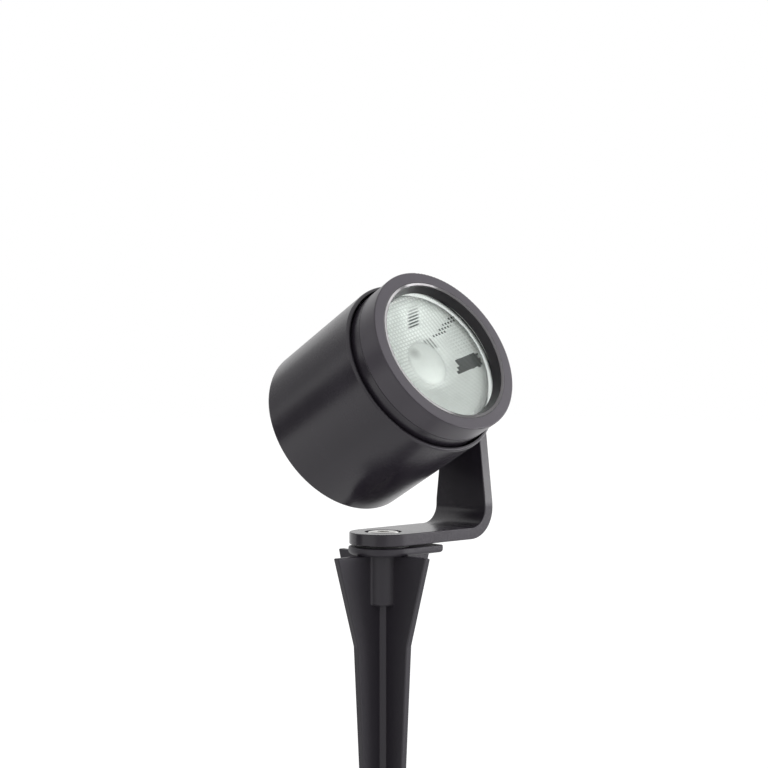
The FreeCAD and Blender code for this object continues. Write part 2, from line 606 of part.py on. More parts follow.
def front_bezel():
    skirt_end = PART_LINE - BEZEL_SKIRT_LENGTH
    face_back = PART_LINE + LOOSE / 2
    ring = turned([
        (BEZEL_SKIRT_BORE, skirt_end),
        (BEZEL_SKIRT_RADIUS, skirt_end),
        (BEZEL_SKIRT_RADIUS, face_back),
        (HOUSING_RADIUS, face_back, PART_LINE_ROUND),
        (HOUSING_RADIUS, BEZEL_FRONT, BEZEL_EDGE_ROUND),
        (BEZEL_FRONT_APERTURE, BEZEL_FRONT, BEZEL_EDGE_ROUND / 2),
        (BEZEL_LIP_APERTURE, LIP_BACK),
        (BEZEL_SKIRT_BORE, LIP_BACK),
    ])
    middle = PART_LINE - BEZEL_SEAL_SETBACK
    groove = tube(BEZEL_SKIRT_RADIUS - SEAL_GROOVE_DEPTH, BEZEL_SKIRT_RADIUS + BEYOND,
                  middle - SEAL_GROOVE_WIDTH / 2, middle + SEAL_GROOVE_WIDTH / 2)
    return ring.cut(groove)


def bezel_oring():
    middle = HOUSING_MOUTH_BORE - BEZEL_SEAL_RADIUS
    return Part.makeTorus(middle, BEZEL_SEAL_RADIUS, Vector(0, 0, PART_LINE - BEZEL_SEAL_SETBACK), Z_AXIS)


def glass_gasket():
    outer = BEZEL_SKIRT_BORE - LOOSE
    return tube(outer - GASKET_WIDTH, outer, GLASS_FRONT, LIP_BACK)


def front_glass():
    return turned([
        (0, GLASS_BACK), (GLASS_RADIUS, GLASS_BACK, GLASS_EDGE_ROUND),
        (GLASS_RADIUS, GLASS_FRONT, GLASS_EDGE_ROUND), (0, GLASS_FRONT),
    ])


def optic():
    """Collimator: light enters a domed pocket, turns at the bulging flank and leaves at the front."""
    flank = Vector(OPTIC_FLANK_RADIUS - OPTIC_FOOT_RADIUS, 0, OPTIC_SEAT - OPTIC_FOOT)
    outward = Vector(flank.z, 0, -flank.x).normalize()
    foot = Vector(OPTIC_FOOT_RADIUS, 0, OPTIC_FOOT)
    belly = foot + flank * 0.5 + outward * OPTIC_FLANK_BULGE
    top = foot + flank
    edges = [
        Part.LineSegment(in_side(0, OPTIC_FOOT), foot).toShape(),
        Part.Arc(foot, belly, top).toShape(),
    ]
    route = [top, in_side(OPTIC_RADIUS, OPTIC_SEAT), in_side(OPTIC_RADIUS, OPTIC_FRONT),
             in_side(0, OPTIC_FRONT), in_side(0, OPTIC_FOOT)]
    edges += [Part.LineSegment(a, b).toShape() for a, b in zip(route, route[1:])]
    body = Part.Face(Part.Wire(edges)).revolve(ORIGIN, Z_AXIS, 360)
    pocket_side = OPTIC_FOOT + OPTIC_POCKET_DEPTH - OPTIC_POCKET_CROWN
    pocket = rod(OPTIC_POCKET_RADIUS, OPTIC_FOOT - BEYOND, pocket_side)
    pocket = pocket.fuse(crown(OPTIC_POCKET_RADIUS, pocket_side, OPTIC_POCKET_CROWN))
    well_floor = OPTIC_FRONT - OPTIC_WELL_DEPTH
    well = rod(OPTIC_WELL_RADIUS, well_floor, OPTIC_FRONT + BEYOND)
    well = well.cut(crown(OPTIC_WELL_RADIUS, well_floor, OPTIC_WELL_CROWN))
    return body.cut(pocket).cut(well)


def optic_holder():
    foot_top = WEB_FRONT + HOLDER_FOOT_THICKNESS
    return turned([
        (LED_BOARD_RADIUS + 2 * LOOSE, WEB_FRONT), (HOLDER_RADIUS, WEB_FRONT), (HOLDER_RADIUS, OPTIC_SEAT),
        (HOLDER_BORE, OPTIC_SEAT), (HOLDER_BORE, foot_top), (LED_BOARD_RADIUS + 2 * LOOSE, foot_top),
    ])


# Light source

def board_screw_places():
    return ring_of(2, LED_BOARD_RADIUS - BOARD_SCREW_INSET, 90)


def lead_places():
    across = LEAD_INSET - LED_BOARD_RADIUS
    return [(across, -LEAD_SPACING / 2), (across, LEAD_SPACING / 2)]


def drilled_disc(start, end):
    disc = rod(LED_BOARD_RADIUS, start, end)
    for x, y in board_screw_places():
        disc = disc.cut(rod(BOARD_SCREW_RADIUS + SCREW_HOLE, start - BEYOND, end + BEYOND, x, y))
    for x, y in lead_places():
        disc = disc.cut(rod(LEAD_RADIUS + LOOSE, start - BEYOND, end + BEYOND, x, y))
    return disc


def thermal_pad():
    return drilled_disc(WEB_FRONT, BOARD_BACK)


def led_board():
    return drilled_disc(BOARD_BACK, BOARD_FRONT)


def led_chip():
    half = CHIP_WIDTH / 2
    carrier = Part.makeBox(CHIP_WIDTH, CHIP_WIDTH, CHIP_THICKNESS, Vector(-half, -half, BOARD_FRONT))
    return carrier.fuse(crown(EMITTER_RADIUS, CHIP_FRONT, EMITTER_CROWN))


def board_screws():
    screws = []
    top = BOARD_FRONT + BOARD_SCREW_HEAD_HEIGHT
    for x, y in board_screw_places():
        screw = turned([
            (0, BOARD_FRONT - BOARD_SCREW_LENGTH), (BOARD_SCREW_RADIUS, BOARD_FRONT - BOARD_SCREW_LENGTH),
            (BOARD_SCREW_RADIUS, BOARD_FRONT), (BOARD_SCREW_HEAD_RADIUS, BOARD_FRONT),
            (BOARD_SCREW_HEAD_RADIUS, top, 0.6), (0, top),
        ])
        screw = screw.cut(hexagon(BOARD_SCREW_RADIUS * 1.3, top - 1.0, top + BEYOND))
        screw.translate(Vector(x, y, 0))
        screws.append(screw)
    return Part.makeCompound(screws)


def led_leads():
    leads = []
    for x, y in lead_places():
        lead = rod(LEAD_RADIUS, DRIVER_FRONT, BOARD_FRONT, x, y)
        solder = Part.makeCone(LEAD_SOLDER_RADIUS, LEAD_RADIUS, LEAD_SOLDER_HEIGHT, Vector(x, y, BOARD_FRONT), Z_AXIS)
        leads.append(lead.fuse(solder).removeSplitter())
    return Part.makeCompound(leads)


# Driver

def driver_board():
    board = rod(DRIVER_BOARD_RADIUS, DRIVER_REAR, DRIVER_FRONT)
    for x, y in ring_of(3, DRIVER_POST_PLACE, 0):
        board = board.cut(rod(DRIVER_SCREW_RADIUS + SCREW_HOLE, DRIVER_REAR - BEYOND, DRIVER_FRONT + BEYOND, x, y))
    return board


def driver_screws():
    screws = []
    for x, y in ring_of(3, DRIVER_POST_PLACE, 0):
        head = rod(DRIVER_SCREW_HEAD_RADIUS, DRIVER_REAR - DRIVER_SCREW_HEAD_HEIGHT, DRIVER_REAR)
        screw = head.fuse(rod(DRIVER_SCREW_RADIUS, DRIVER_REAR, DRIVER_REAR + DRIVER_SCREW_LENGTH))
        screw.translate(Vector(x, y, 0))
        screws.append(screw)
    return Part.makeCompound(screws)


def driver_inductor():
    low = DRIVER_REAR - INDUCTOR_HEIGHT
    drum = turned([
        (0, low), (INDUCTOR_RADIUS, low), (INDUCTOR_RADIUS, low + INDUCTOR_CHEEK),
        (INDUCTOR_WAIST, low + INDUCTOR_CHEEK), (INDUCTOR_WAIST, DRIVER_REAR - INDUCTOR_CHEEK),
        (INDUCTOR_RADIUS, DRIVER_REAR - INDUCTOR_CHEEK), (INDUCTOR_RADIUS, DRIVER_REAR), (0, DRIVER_REAR),
    ])
    drum.translate(Vector(INDUCTOR_RADIUS + 1.0, INDUCTOR_RADIUS + 1.0, 0))
    return drum


def driver_capacitors():
    cans = []
    for side in (-1, 1):
        can = turned([
            (0, DRIVER_REAR - CAPACITOR_HEIGHT), (CAPACITOR_RADIUS, DRIVER_REAR - CAPACITOR_HEIGHT, 0.5),
            (CAPACITOR_RADIUS, DRIVER_REAR), (0, DRIVER_REAR),
        ])
        can.translate(Vector(-CAPACITOR_RADIUS - 1.0, side * (CAPACITOR_RADIUS + 0.5), 0))
        cans.append(can)
    return Part.makeCompound(cans)


def driver_chip():
    length, width, height = DRIVER_CHIP_SIZE
    corner = Vector(2.0, -width - 2.0, DRIVER_REAR - height)
    return Part.makeBox(length, width, height, corner)


# Cord gland

def gland_body():
    inner_end = HOUSING_REAR + LOCKNUT_THICKNESS + 1.0
    body = rod(GLAND_THREAD_RADIUS, GLAND_HEX_FRONT, inner_end)
    body = body.fuse(hexagon(GLAND_HEX_WIDTH, GLAND_HEX_REAR, GLAND_HEX_FRONT))
    body = body.fuse(rod(GLAND_STUB_RADIUS, GLAND_STUB_END, GLAND_HEX_REAR))
    body = body.cut(rod(GLAND_BORE, GLAND_STUB_END - BEYOND, inner_end + BEYOND))
    return body.cut(rod(GLAND_SEAL_RADIUS + LOOSE / 2, GLAND_STUB_END - BEYOND, GLAND_SEAL_FRONT))


def gland_washer():
    return tube(GLAND_THREAD_RADIUS + LOOSE, GLAND_HEX_WIDTH / 2, GLAND_HEX_FRONT, -SLEEVE_REAR)


def gland_locknut():
    nut = hexagon(LOCKNUT_WIDTH, HOUSING_REAR, HOUSING_REAR + LOCKNUT_THICKNESS)
    return nut.cut(rod(GLAND_THREAD_RADIUS, HOUSING_REAR - BEYOND, HOUSING_REAR + LOCKNUT_THICKNESS + BEYOND))


def gland_seal():
    shoulder = GLAND_SEAL_FRONT - GLAND_SEAL_LENGTH
    nose_end = shoulder - GLAND_NOSE_LENGTH
    return turned([
        (CORD_RADIUS, GLAND_SEAL_FRONT), (GLAND_SEAL_RADIUS, GLAND_SEAL_FRONT), (GLAND_SEAL_RADIUS, shoulder),
        (GLAND_NOSE_RADIUS, shoulder), (GLAND_NOSE_RADIUS, nose_end, 0.3), (CORD_RADIUS, nose_end),
    ])


def gland_cap():
    thread = GLAND_STUB_RADIUS + RUNNING
    chamber = GLAND_SEAL_RADIUS + LOOSE
    mouth = GLAND_NOSE_RADIUS + LOOSE
    chamber_start = GLAND_STUB_END - 2 * LOOSE
    chamber_end = GLAND_CAP_END + GLAND_CAP_END_WALL
    cap = turned([
        (thread, GLAND_CAP_FRONT), (GLAND_CAP_RADIUS, GLAND_CAP_FRONT),
        (GLAND_CAP_RADIUS, GLAND_CAP_END, GLAND_CAP_ROUND), (mouth, GLAND_CAP_END),
        (mouth, chamber_end), (chamber, chamber_end), (chamber, chamber_start), (thread, chamber_start),
    ])
    return cap.common(hexagon(GLAND_CAP_GRIP_WIDTH, GLAND_CAP_END - BEYOND, GLAND_CAP_FRONT + BEYOND))


# Tilt bolt and what it clamps

def pivot_spacer():
    """Boss with a saddle that fits the round sleeve."""
    block = cross_tube(PIVOT_RADIUS + RUNNING, SPACER_RADIUS, 0, SPACER_OUTER)
    return block.cut(rod(SLEEVE_RADIUS, -SLEEVE_REAR, SLEEVE_FRONT))


def friction_washer():
    return cross_tube(PIVOT_RADIUS + RUNNING, SPACER_RADIUS, SPACER_OUTER, SPACER_OUTER + FRICTION_WASHER_THICKNESS)


def pivot_washer():
    return cross_tube(PIVOT_RADIUS + LOOSE, PIVOT_WASHER_RADIUS, ARM_FACE + RUNNING, PIVOT_WASHER_OUTER)


def lock_washer():
    ring = cross_tube(PIVOT_RADIUS + LOOSE, LOCK_WASHER_RADIUS, PIVOT_WASHER_OUTER, PIVOT_HEAD_FACE)
    split = Part.makeBox(LOCK_WASHER_THICKNESS + 2, LOCK_WASHER_SPLIT, LOCK_WASHER_RADIUS + BEYOND,
                         Vector(PIVOT_WASHER_OUTER - 1, -LOCK_WASHER_SPLIT / 2, 0))
    return ring.cut(split)


def pivot_bolt():
    top = PIVOT_HEAD_FACE + PIVOT_HEAD_HEIGHT
    bolt = turned([
        (0, PIVOT_BOLT_END), (PIVOT_RADIUS, PIVOT_BOLT_END, 0.5), (PIVOT_RADIUS, PIVOT_HEAD_FACE),
        (PIVOT_HEAD_RADIUS, PIVOT_HEAD_FACE), (PIVOT_HEAD_RADIUS, top, 0.6), (0, top),
    ])
    bolt = bolt.cut(hexagon(PIVOT_SOCKET_WIDTH, top - PIVOT_SOCKET_DEPTH, top + BEYOND))
    bolt.rotate(ORIGIN, Vector(0, 1, 0), 90)
    return bolt


STANDING_PIECES = [ground_spike, spike_insert, swivel_washer, swivel_screw, bracket]
HEAD_PIECES = [
    outer_sleeve, lamp_housing, front_bezel, bezel_oring, glass_gasket, front_glass, optic, optic_holder,
    thermal_pad, led_board, led_chip, board_screws, led_leads,
    driver_board, driver_screws, driver_inductor, driver_capacitors, driver_chip,
    driver_cover, cover_screws, cover_oring,
    gland_body, gland_washer, gland_locknut, gland_seal, gland_cap,
    pivot_spacer, friction_washer, pivot_washer, lock_washer, pivot_bolt,
]


def main():
    os.makedirs("parts", exist_ok=True)
    for make in STANDING_PIECES:
        make().exportStep(f"parts/{make.__name__}.step")
    for make in HEAD_PIECES:
        piece = make()
        piece.Placement = HEAD_PLACE.multiply(piece.Placement)
        piece.exportStep(f"parts/{make.__name__}.step")


main()
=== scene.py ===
"""Garden spike spotlight: finishes, detail pieces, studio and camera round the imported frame."""

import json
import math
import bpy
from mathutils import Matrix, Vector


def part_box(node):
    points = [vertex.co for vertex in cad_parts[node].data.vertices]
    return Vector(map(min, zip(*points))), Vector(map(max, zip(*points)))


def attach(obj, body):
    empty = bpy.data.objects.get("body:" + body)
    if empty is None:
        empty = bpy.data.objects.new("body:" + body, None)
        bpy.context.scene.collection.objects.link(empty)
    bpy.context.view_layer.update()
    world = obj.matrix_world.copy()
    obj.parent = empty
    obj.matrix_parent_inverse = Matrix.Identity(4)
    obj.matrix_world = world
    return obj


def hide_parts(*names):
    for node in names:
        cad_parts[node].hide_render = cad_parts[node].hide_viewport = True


bl_info = {
    "name": "Garden Spike Spotlight",
    "version": (1, 0, 0),
    "blender": (4, 5, 0),
    "location": "View3D > Sidebar > Spotlight",
    "description": "Finishes a garden spike spotlight and sets its studio",
    "category": "Object",
}

import bmesh
import bpy
from bpy.props import FloatProperty, FloatVectorProperty, IntProperty, PointerProperty
from mathutils import Matrix, Vector


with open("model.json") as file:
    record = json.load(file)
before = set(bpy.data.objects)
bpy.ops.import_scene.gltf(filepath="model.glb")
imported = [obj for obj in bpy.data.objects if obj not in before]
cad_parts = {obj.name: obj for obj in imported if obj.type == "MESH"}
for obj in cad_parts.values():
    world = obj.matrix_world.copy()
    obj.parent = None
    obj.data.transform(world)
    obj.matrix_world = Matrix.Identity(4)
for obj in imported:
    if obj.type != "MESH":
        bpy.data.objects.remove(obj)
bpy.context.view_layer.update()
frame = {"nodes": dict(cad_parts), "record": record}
NODES = frame["nodes"]
MM = 0.001
WHITE = (1, 1, 1)
NOISE_SPAN = (0.3, 0.7)             # where nearly all of a noise lies


# Where the lamp head stands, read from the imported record

def record_joint(name):
    return next(j for j in frame["record"]["behaviour"]["joints"] if j["name"] == name)


def record_mount(name):
    return next(m for m in frame["record"]["mounts"] if m["name"] == name)


TILT_AXIS_POINT = Vector(record_joint("head_tilt")["pos_m"])
CORD_INLET = record_mount("cord_inlet")
HEAD_ACROSS = Vector((1, 0, 0))
HEAD_FORWARD = -Vector(CORD_INLET["axis"]).normalized()
HEAD_UP = HEAD_FORWARD.cross(HEAD_ACROSS)
HEAD_CENTRE = Vector(CORD_INLET["pos_m"])
HEAD_CENTRE += HEAD_FORWARD * (TILT_AXIS_POINT - HEAD_CENTRE).dot(HEAD_FORWARD)
# From the head's millimetres across, up and forward to the frame's metres
HEAD = Matrix.Translation(HEAD_CENTRE) @ Matrix((
    (1, HEAD_UP.x, HEAD_FORWARD.x, 0),
    (0, HEAD_UP.y, HEAD_FORWARD.y, 0),
    (0, HEAD_UP.z, HEAD_FORWARD.z, 0),
    (0, 0, 0, 1),
)) @ Matrix.Scale(MM, 4)


# Sizes and colours that a user would change

class SpotlightFinish(bpy.types.PropertyGroup):
    coat_color: FloatVectorProperty(
        name="Coat", description="Powder coat of the head and the bracket", subtype="COLOR", size=3,
        min=0, max=1, default=(0.035, 0.0295, 0.040))
    coat_roughness: FloatProperty(
        name="Coat roughness", description="0 is a mirror, 1 is chalk", subtype="FACTOR",
        min=0.05, max=1, default=0.26)
    bezel_color: FloatVectorProperty(
        name="Bezel coat", description="Coat of the bezel's face", subtype="COLOR", size=3,
        min=0, max=1, default=(0.076, 0.067, 0.083))
    bezel_roughness: FloatProperty(
        name="Bezel roughness", description="0 is a mirror, 1 is chalk", subtype="FACTOR",
        min=0.05, max=1, default=0.34)
    spike_color: FloatVectorProperty(
        name="Spike", description="Moulded plastic of the spike", subtype="COLOR", size=3,
        min=0, max=1, default=(0.032, 0.028, 0.037))
    spike_roughness: FloatProperty(
        name="Spike roughness", description="0 is a mirror, 1 is chalk", subtype="FACTOR",
        min=0.05, max=1, default=0.44)
    steel_color: FloatVectorProperty(
        name="Steel", description="Stainless screws and washers", subtype="COLOR", size=3,
        min=0, max=1, default=(0.62, 0.61, 0.59))
    knurl_ridges: IntProperty(
        name="Knurl ridges", description="Ridges round the tilt bolt's head", min=8, max=96, default=40)


class SpotlightOptic(bpy.types.PropertyGroup):
    row_step: FloatVectorProperty(
        name="Row step", description="From one cell of a row to the next, across and up",
        unit="LENGTH", size=2, default=(0.00148, 0.00044))
    column_step: FloatVectorProperty(
        name="Column step", description="From one row to the next, across and up",
        unit="LENGTH", size=2, default=(0.00059, -0.00108))
    cell_crown: FloatProperty(
        name="Cell crown", description="Height of one pillow cell",
        unit="LENGTH", min=0.00001, max=0.0005, default=0.00008)
    body_color: FloatVectorProperty(
        name="Body", description="Colour of light that the moulded optic scatters", subtype="COLOR",
        size=3, min=0, max=1, default=(0.94, 0.97, 0.945))
    haze: FloatProperty(
        name="Haze", description="0 is water clear, 1 is opal", subtype="FACTOR",
        min=0, max=1, default=0.75)
    glass_tint: FloatVectorProperty(
        name="Glass tint", description="Colour of light that has passed the window", subtype="COLOR",
        size=3, min=0, max=1, default=(0.965, 0.99, 0.975))


class SpotlightStudio(bpy.types.PropertyGroup):
    floor_color: FloatVectorProperty(
        name="Floor", description="Colour of the floor", subtype="COLOR", size=3,
        min=0, max=1, default=(0.8, 0.8, 0.8))
    floor_glow: FloatProperty(
        name="Floor glow", description="Share of white in the floor near the object",
        subtype="FACTOR", min=0, max=1, default=0.6)
    sky_strength: FloatProperty(
        name="Sky", description="Even light from all round", min=0, max=4, default=0.4)
    key_power: FloatProperty(
        name="Key light", description="Large soft box at the right", unit="POWER",
        min=0, max=1000, default=12)


# Wiring of shader nodes

def rgba(color):
    """A colour for a socket: a wire as it is, or three numbers with full alpha."""
    return color if isinstance(color, Wire) else (*color, 1)


class Wire:
    """A shader socket that takes part in Python arithmetic."""

    def __init__(self, nodes, socket):
        self.nodes = nodes
        self.socket = socket

    def math(self, operation, *others, clamp=False):
        return self.nodes.math(operation, self, *others, clamp=clamp)

    def __add__(self, other):
        return self.math("ADD", other)

    __radd__ = __add__

    def __sub__(self, other):
        return self.math("SUBTRACT", other)

    def __rsub__(self, other):
        return self.nodes.math("SUBTRACT", other, self)

    def __mul__(self, other):
        return self.math("MULTIPLY", other)

    __rmul__ = __mul__

    def __truediv__(self, other):
        return self.math("DIVIDE", other)

    def above(self, edge, width):
        """0 below the edge, 1 above it, with a soft step of the given width."""
        return ((self - edge) / width + 0.5).math("ADD", 0.0, clamp=True)

    def near(self, middle, half, width):
        """1 within half of the middle, 0 beyond it, with soft steps of the given width."""
        return 1 - (self - middle).math("ABSOLUTE").above(half, width)


class NodeWiring:
    """Adds nodes to a shader tree: of a material, a light or the world."""

    def __init__(self, tree):
        self.tree = tree

    def add(self, kind, settings=None, values=None, out=0):
        """Any node: its settings first, then the values or wires of its sockets."""
        node = self.tree.nodes.new(kind)
        for key, value in (settings or {}).items():
            setattr(node, key, value)
        for key, value in (values or {}).items():
            socket = node.inputs[key]
            if isinstance(value, Wire):
                self.tree.links.new(value.socket, socket)
            elif value is not None:
                socket.default_value = value
        return Wire(self, node.outputs[out])

    def math(self, operation, *values, clamp=False):
        return self.add("ShaderNodeMath", {"operation": operation, "use_clamp": clamp},
                        dict(enumerate(values)))

    def mix(self, share, low, high):
        """The colour low where the share is 0, high where it is 1."""
        return self.add("ShaderNodeMix", {"data_type": "RGBA"}, {
            0: share, 6: rgba(low), 7: rgba(high)}, out=2)

    def seen_directly(self):
        """1 where a camera, glossy or transmission ray looks, else 0."""
        camera, glossy, through = [
            self.add("ShaderNodeLightPath", out=ray)
            for ray in ("Is Camera Ray", "Is Glossy Ray", "Is Transmission Ray")]
        return (camera + glossy).math("ADD", through, clamp=True)

    def existing(self, kind):
        """The first node of a kind that the tree already has."""
        return next(node for node in self.tree.nodes if node.type == kind)


class Shader(NodeWiring):
    """A procedural material under construction."""

    def __init__(self, name):
        self.material = bpy.data.materials.new(name)
        self.material.use_nodes = True
        super().__init__(self.material.node_tree)
        self.tree.nodes.clear()
        self.output = self.tree.nodes.new("ShaderNodeOutputMaterial")

    def place(self, turn=(0, 0, 0), scale=(1, 1, 1), centre=(0, 0, 0)):
        """Object coordinates, centred, turned and scaled."""
        where = self.add("ShaderNodeTexCoord", out="Object")
        back = self.add("ShaderNodeVectorMath", {"operation": "SUBTRACT"}, {0: where, 1: centre})
        return self.add("ShaderNodeMapping", {"vector_type": "POINT"},
                        {"Vector": back, "Rotation": turn, "Scale": scale})

    def head_place(self):
        """Millimetres across, up and forward from the head's centre, and out from its axis."""
        where = self.place(centre=HEAD_CENTRE)
        across, up, forward = [
            self.add("ShaderNodeVectorMath", {"operation": "DOT_PRODUCT"},
                     {0: where, 1: tuple(way / MM)}, out="Value")
            for way in (HEAD_ACROSS, HEAD_UP, HEAD_FORWARD)]
        return across, up, forward, (across * across + up * up).math("SQRT")

    def noise(self, size, where=None, detail=2.0, roughness=0.5):
        """Noise whose lumps are about the given size across, in metres; 0.5 on average."""
        return self.add("ShaderNodeTexNoise", {"noise_dimensions": "3D"}, {
            "Vector": where or self.place(), "Scale": 1 / size, "Detail": detail,
            "Roughness": roughness})

    def tint(self, color, wire, low, high):
        """The color, multiplied by a grey that runs from low to high with the wire."""
        shade = self.add("ShaderNodeMapRange", {}, {
            "Value": wire, "From Min": NOISE_SPAN[0], "From Max": NOISE_SPAN[1],
            "To Min": low, "To Max": high})
        return self.add("ShaderNodeMix", {"data_type": "RGBA", "blend_type": "MULTIPLY"}, {
            0: 1.0, 6: rgba(color), 7: shade}, out=2)

    def bump(self, height, depth, normal=None):
        """Relief of the given depth in metres from a 0 to 1 height."""
        return self.add("ShaderNodeBump", {}, {
            "Height": height, "Distance": depth, "Strength": 1.0, "Normal": normal})

    def principled(self, **sockets):
        named = {key.replace("_", " "): value for key, value in sockets.items()}
        return self.add("ShaderNodeBsdfPrincipled", {}, named)

    def blend(self, share, low, high):
        """The surface low where the share is 0, high where it is 1."""
        return self.add("ShaderNodeMixShader", {}, {0: share, 1: low, 2: high})

    def emission(self, strength):
        return self.add("ShaderNodeEmission", {}, {"Color": rgba(WHITE), "Strength": strength})

    def finish(self, surface):
        self.tree.links.new(surface.socket, self.output.inputs["Surface"])
        return self.material


# Finishes. Lengths are in metres, but in millimetres from a head place.
# Tones are the darkest and the palest share of a colour. Rough shares say how far noise varies the roughness.

COAT_CLOUD, COAT_PEEL, COAT_GRAIN = 0.018, 0.0011, 0.00022
COAT_TONES = (0.93, 1.07)
COAT_ROUGH = (0.10, 0.06)           # by the clouds, by the grain
COAT_RELIEF = (0.6, 0.4, 0.000012)  # share of the peel, share of the grain, depth
PLASTIC_FLOW, PLASTIC_GRAIN = 0.01, 0.00035
PLASTIC_STRETCH = (1, 1, 0.15)      # makes the flow marks long in Z
PLASTIC_TONES = (0.90, 1.10)
PLASTIC_ROUGH = (0.12, 0.08)        # by the flow marks, by the grain
PLASTIC_RELIEF = 0.000012
METAL_RINGS = {"Scale": 900.0, "Distortion": 1.5, "Detail": 2.0, "Detail Scale": 40.0}
METAL_SMEAR = 0.0012
METAL_TONES = (0.92, 1.05)
METAL_ROUGH = (0.15,)
METAL_RELIEF = 0.000004
RUBBER_BLOOM, RUBBER_GRAIN = 0.002, 0.0003
RUBBER_TONES = (0.85, 1.25)
RUBBER_ROUGHNESS, RUBBER_ROUGH = 0.62, (0.2,)
RUBBER_RELIEF = 0.00001

GLASS_IOR = 1.37
GLASS_SMEAR, GLASS_TONES = 0.006, (0.985, 1.0)
GLASS_EDGE = (0.06, 0.02)           # depth of the ground edge, softness
GLASS_EDGE_COLOR = (0.9, 0.95, 0.92)
GLASS_EDGE_GRAIN, GLASS_EDGE_TONES, GLASS_EDGE_ROUGHNESS = 0.0005, (0.95, 1.05), 0.8

BEZEL_FACE = 29.5                   # the face, forward of the tilt axis
BEZEL_SOFTNESS = 0.1
BEZEL_BEVEL = (24.0, 0.95, 0.62)    # inner radius, width, drop
BEZEL_GROOVE = (25.1, 0.1, 0.06)    # radius, half width, softness
BEZEL_GROOVE_DROP = 0.3             # as a share of the bevel's
# Share of painted shade in the fine groove
BEZEL_GROOVE_SHADE = 0.9
BEZEL_THROAT = (25.5, 0.4)          # radius at the mouth, softness
BEZEL_FACE_SKIN, BEZEL_THROAT_LIP = 0.25, 0.3     # where the face ends and the throat starts, behind the face
BEZEL_BEVEL_SMOOTHER = 0.2
# The bevel's lighter colour is a painted highlight, on top of the real reflection of its metallic finish
BEZEL_BEVEL_HIGHLIGHT_COLOR = (0.15, 0.145, 0.15)
# Painted shade in the fine groove
BEZEL_GROOVE_SHADE_COLOR = (0.004, 0.004, 0.004)
BEZEL_THROAT_COLOR = (0.022, 0.020, 0.024)


def varied(value, noises, amounts):
    """The value, moved either way by noises that are 0.5 on average."""
    for noise, amount in zip(noises, amounts):
        value = value + (noise - 0.5) * amount
    return value


def coat(s, color, roughness):
    """Orange peel, fine grain and faint clouds: a coat's colour, roughness and relief."""
    cloud = s.noise(COAT_CLOUD, detail=3.0)
    peel = s.noise(COAT_PEEL, detail=1.0)
    grain = s.noise(COAT_GRAIN, roughness=0.6)
    peel_share, grain_share, depth = COAT_RELIEF
    return (s.tint(color, cloud, *COAT_TONES), varied(roughness, (cloud, grain), COAT_ROUGH),
            s.bump(peel * peel_share + grain * grain_share, depth))


def powder_coat(name, color, roughness):
    """Satin powder coat."""
    s = Shader(name)
    base, rough, relief = coat(s, color, roughness)
    return s.finish(s.principled(Base_Color=base, Roughness=rough, Normal=relief))


def bezel_coat(name, color, roughness):
    """Powder coat with a darker throat, and round its mouth a metallic bevel whose lighter colour is a
    painted highlight and a fine groove darkened with painted shade.
    """
    s = Shader(name)
    forward, reach = s.head_place()[2:]
    inner, width, drop = BEZEL_BEVEL
    face = forward.above(BEZEL_FACE - BEZEL_FACE_SKIN, BEZEL_SOFTNESS)
    rise = reach.above(inner + width / 2, width) * face
    groove = reach.near(*BEZEL_GROOVE) * face
    slope = (1 - reach.above(inner + width, BEZEL_SOFTNESS)) * face * (1 - groove)
    throat = 1 - reach.above(*BEZEL_THROAT)
    throat = throat * (1 - forward.above(BEZEL_FACE - BEZEL_THROAT_LIP, BEZEL_SOFTNESS))
    base, rough, relief = coat(s, color, roughness)
    base = s.mix(throat, base, BEZEL_THROAT_COLOR)
    # Painted highlight: the bevel is lighter in colour, as well as metallic and smoother
    base = s.mix(slope, base, BEZEL_BEVEL_HIGHLIGHT_COLOR)
    # Painted shade darkens the fine groove
    base = s.mix(groove * BEZEL_GROOVE_SHADE, base, BEZEL_GROOVE_SHADE_COLOR)
    relief = s.bump(rise - groove * BEZEL_GROOVE_DROP, drop * MM, relief)
    return s.finish(s.principled(
        Base_Color=base, Metallic=slope, Roughness=rough - slope * BEZEL_BEVEL_SMOOTHER, Normal=relief))


def moulded_plastic(name, color, roughness):
    """Moulded plastic with a spark-eroded grain and slow flow marks along Z."""
    s = Shader(name)
    flow = s.noise(PLASTIC_FLOW, where=s.place(scale=PLASTIC_STRETCH))
    grain = s.noise(PLASTIC_GRAIN, roughness=0.55)
    return s.finish(s.principled(
        Base_Color=s.tint(color, flow, *PLASTIC_TONES),
        Roughness=varied(roughness, (flow, grain), PLASTIC_ROUGH),
        Normal=s.bump(grain, PLASTIC_RELIEF)))


def turned_metal(name, color, roughness, centre=(0, 0, 0), turn=(0, 0, 0)):
    """Bright turned metal: fine rings about the Z axis, which can be moved and turned."""
    s = Shader(name)
    rings = s.add("ShaderNodeTexWave", {"wave_type": "RINGS", "rings_direction": "Z"}, {
        "Vector": s.place(centre=centre, turn=turn), **METAL_RINGS}, out="Fac")
    smear = s.noise(METAL_SMEAR)
    return s.finish(s.principled(
        Base_Color=s.tint(color, smear, *METAL_TONES), Metallic=1.0,
        Roughness=varied(roughness, (smear,), METAL_ROUGH), Normal=s.bump(rings, METAL_RELIEF)))


def rubber(name, color):
    """Silicone rubber or a soft pad, with a faint bloom."""
    s = Shader(name)
    bloom = s.noise(RUBBER_BLOOM, detail=3.0)
    return s.finish(s.principled(
        Base_Color=s.tint(color, bloom, *RUBBER_TONES),
        Roughness=varied(RUBBER_ROUGHNESS, (bloom,), RUBBER_ROUGH),
        Normal=s.bump(s.noise(RUBBER_GRAIN), RUBBER_RELIEF)))


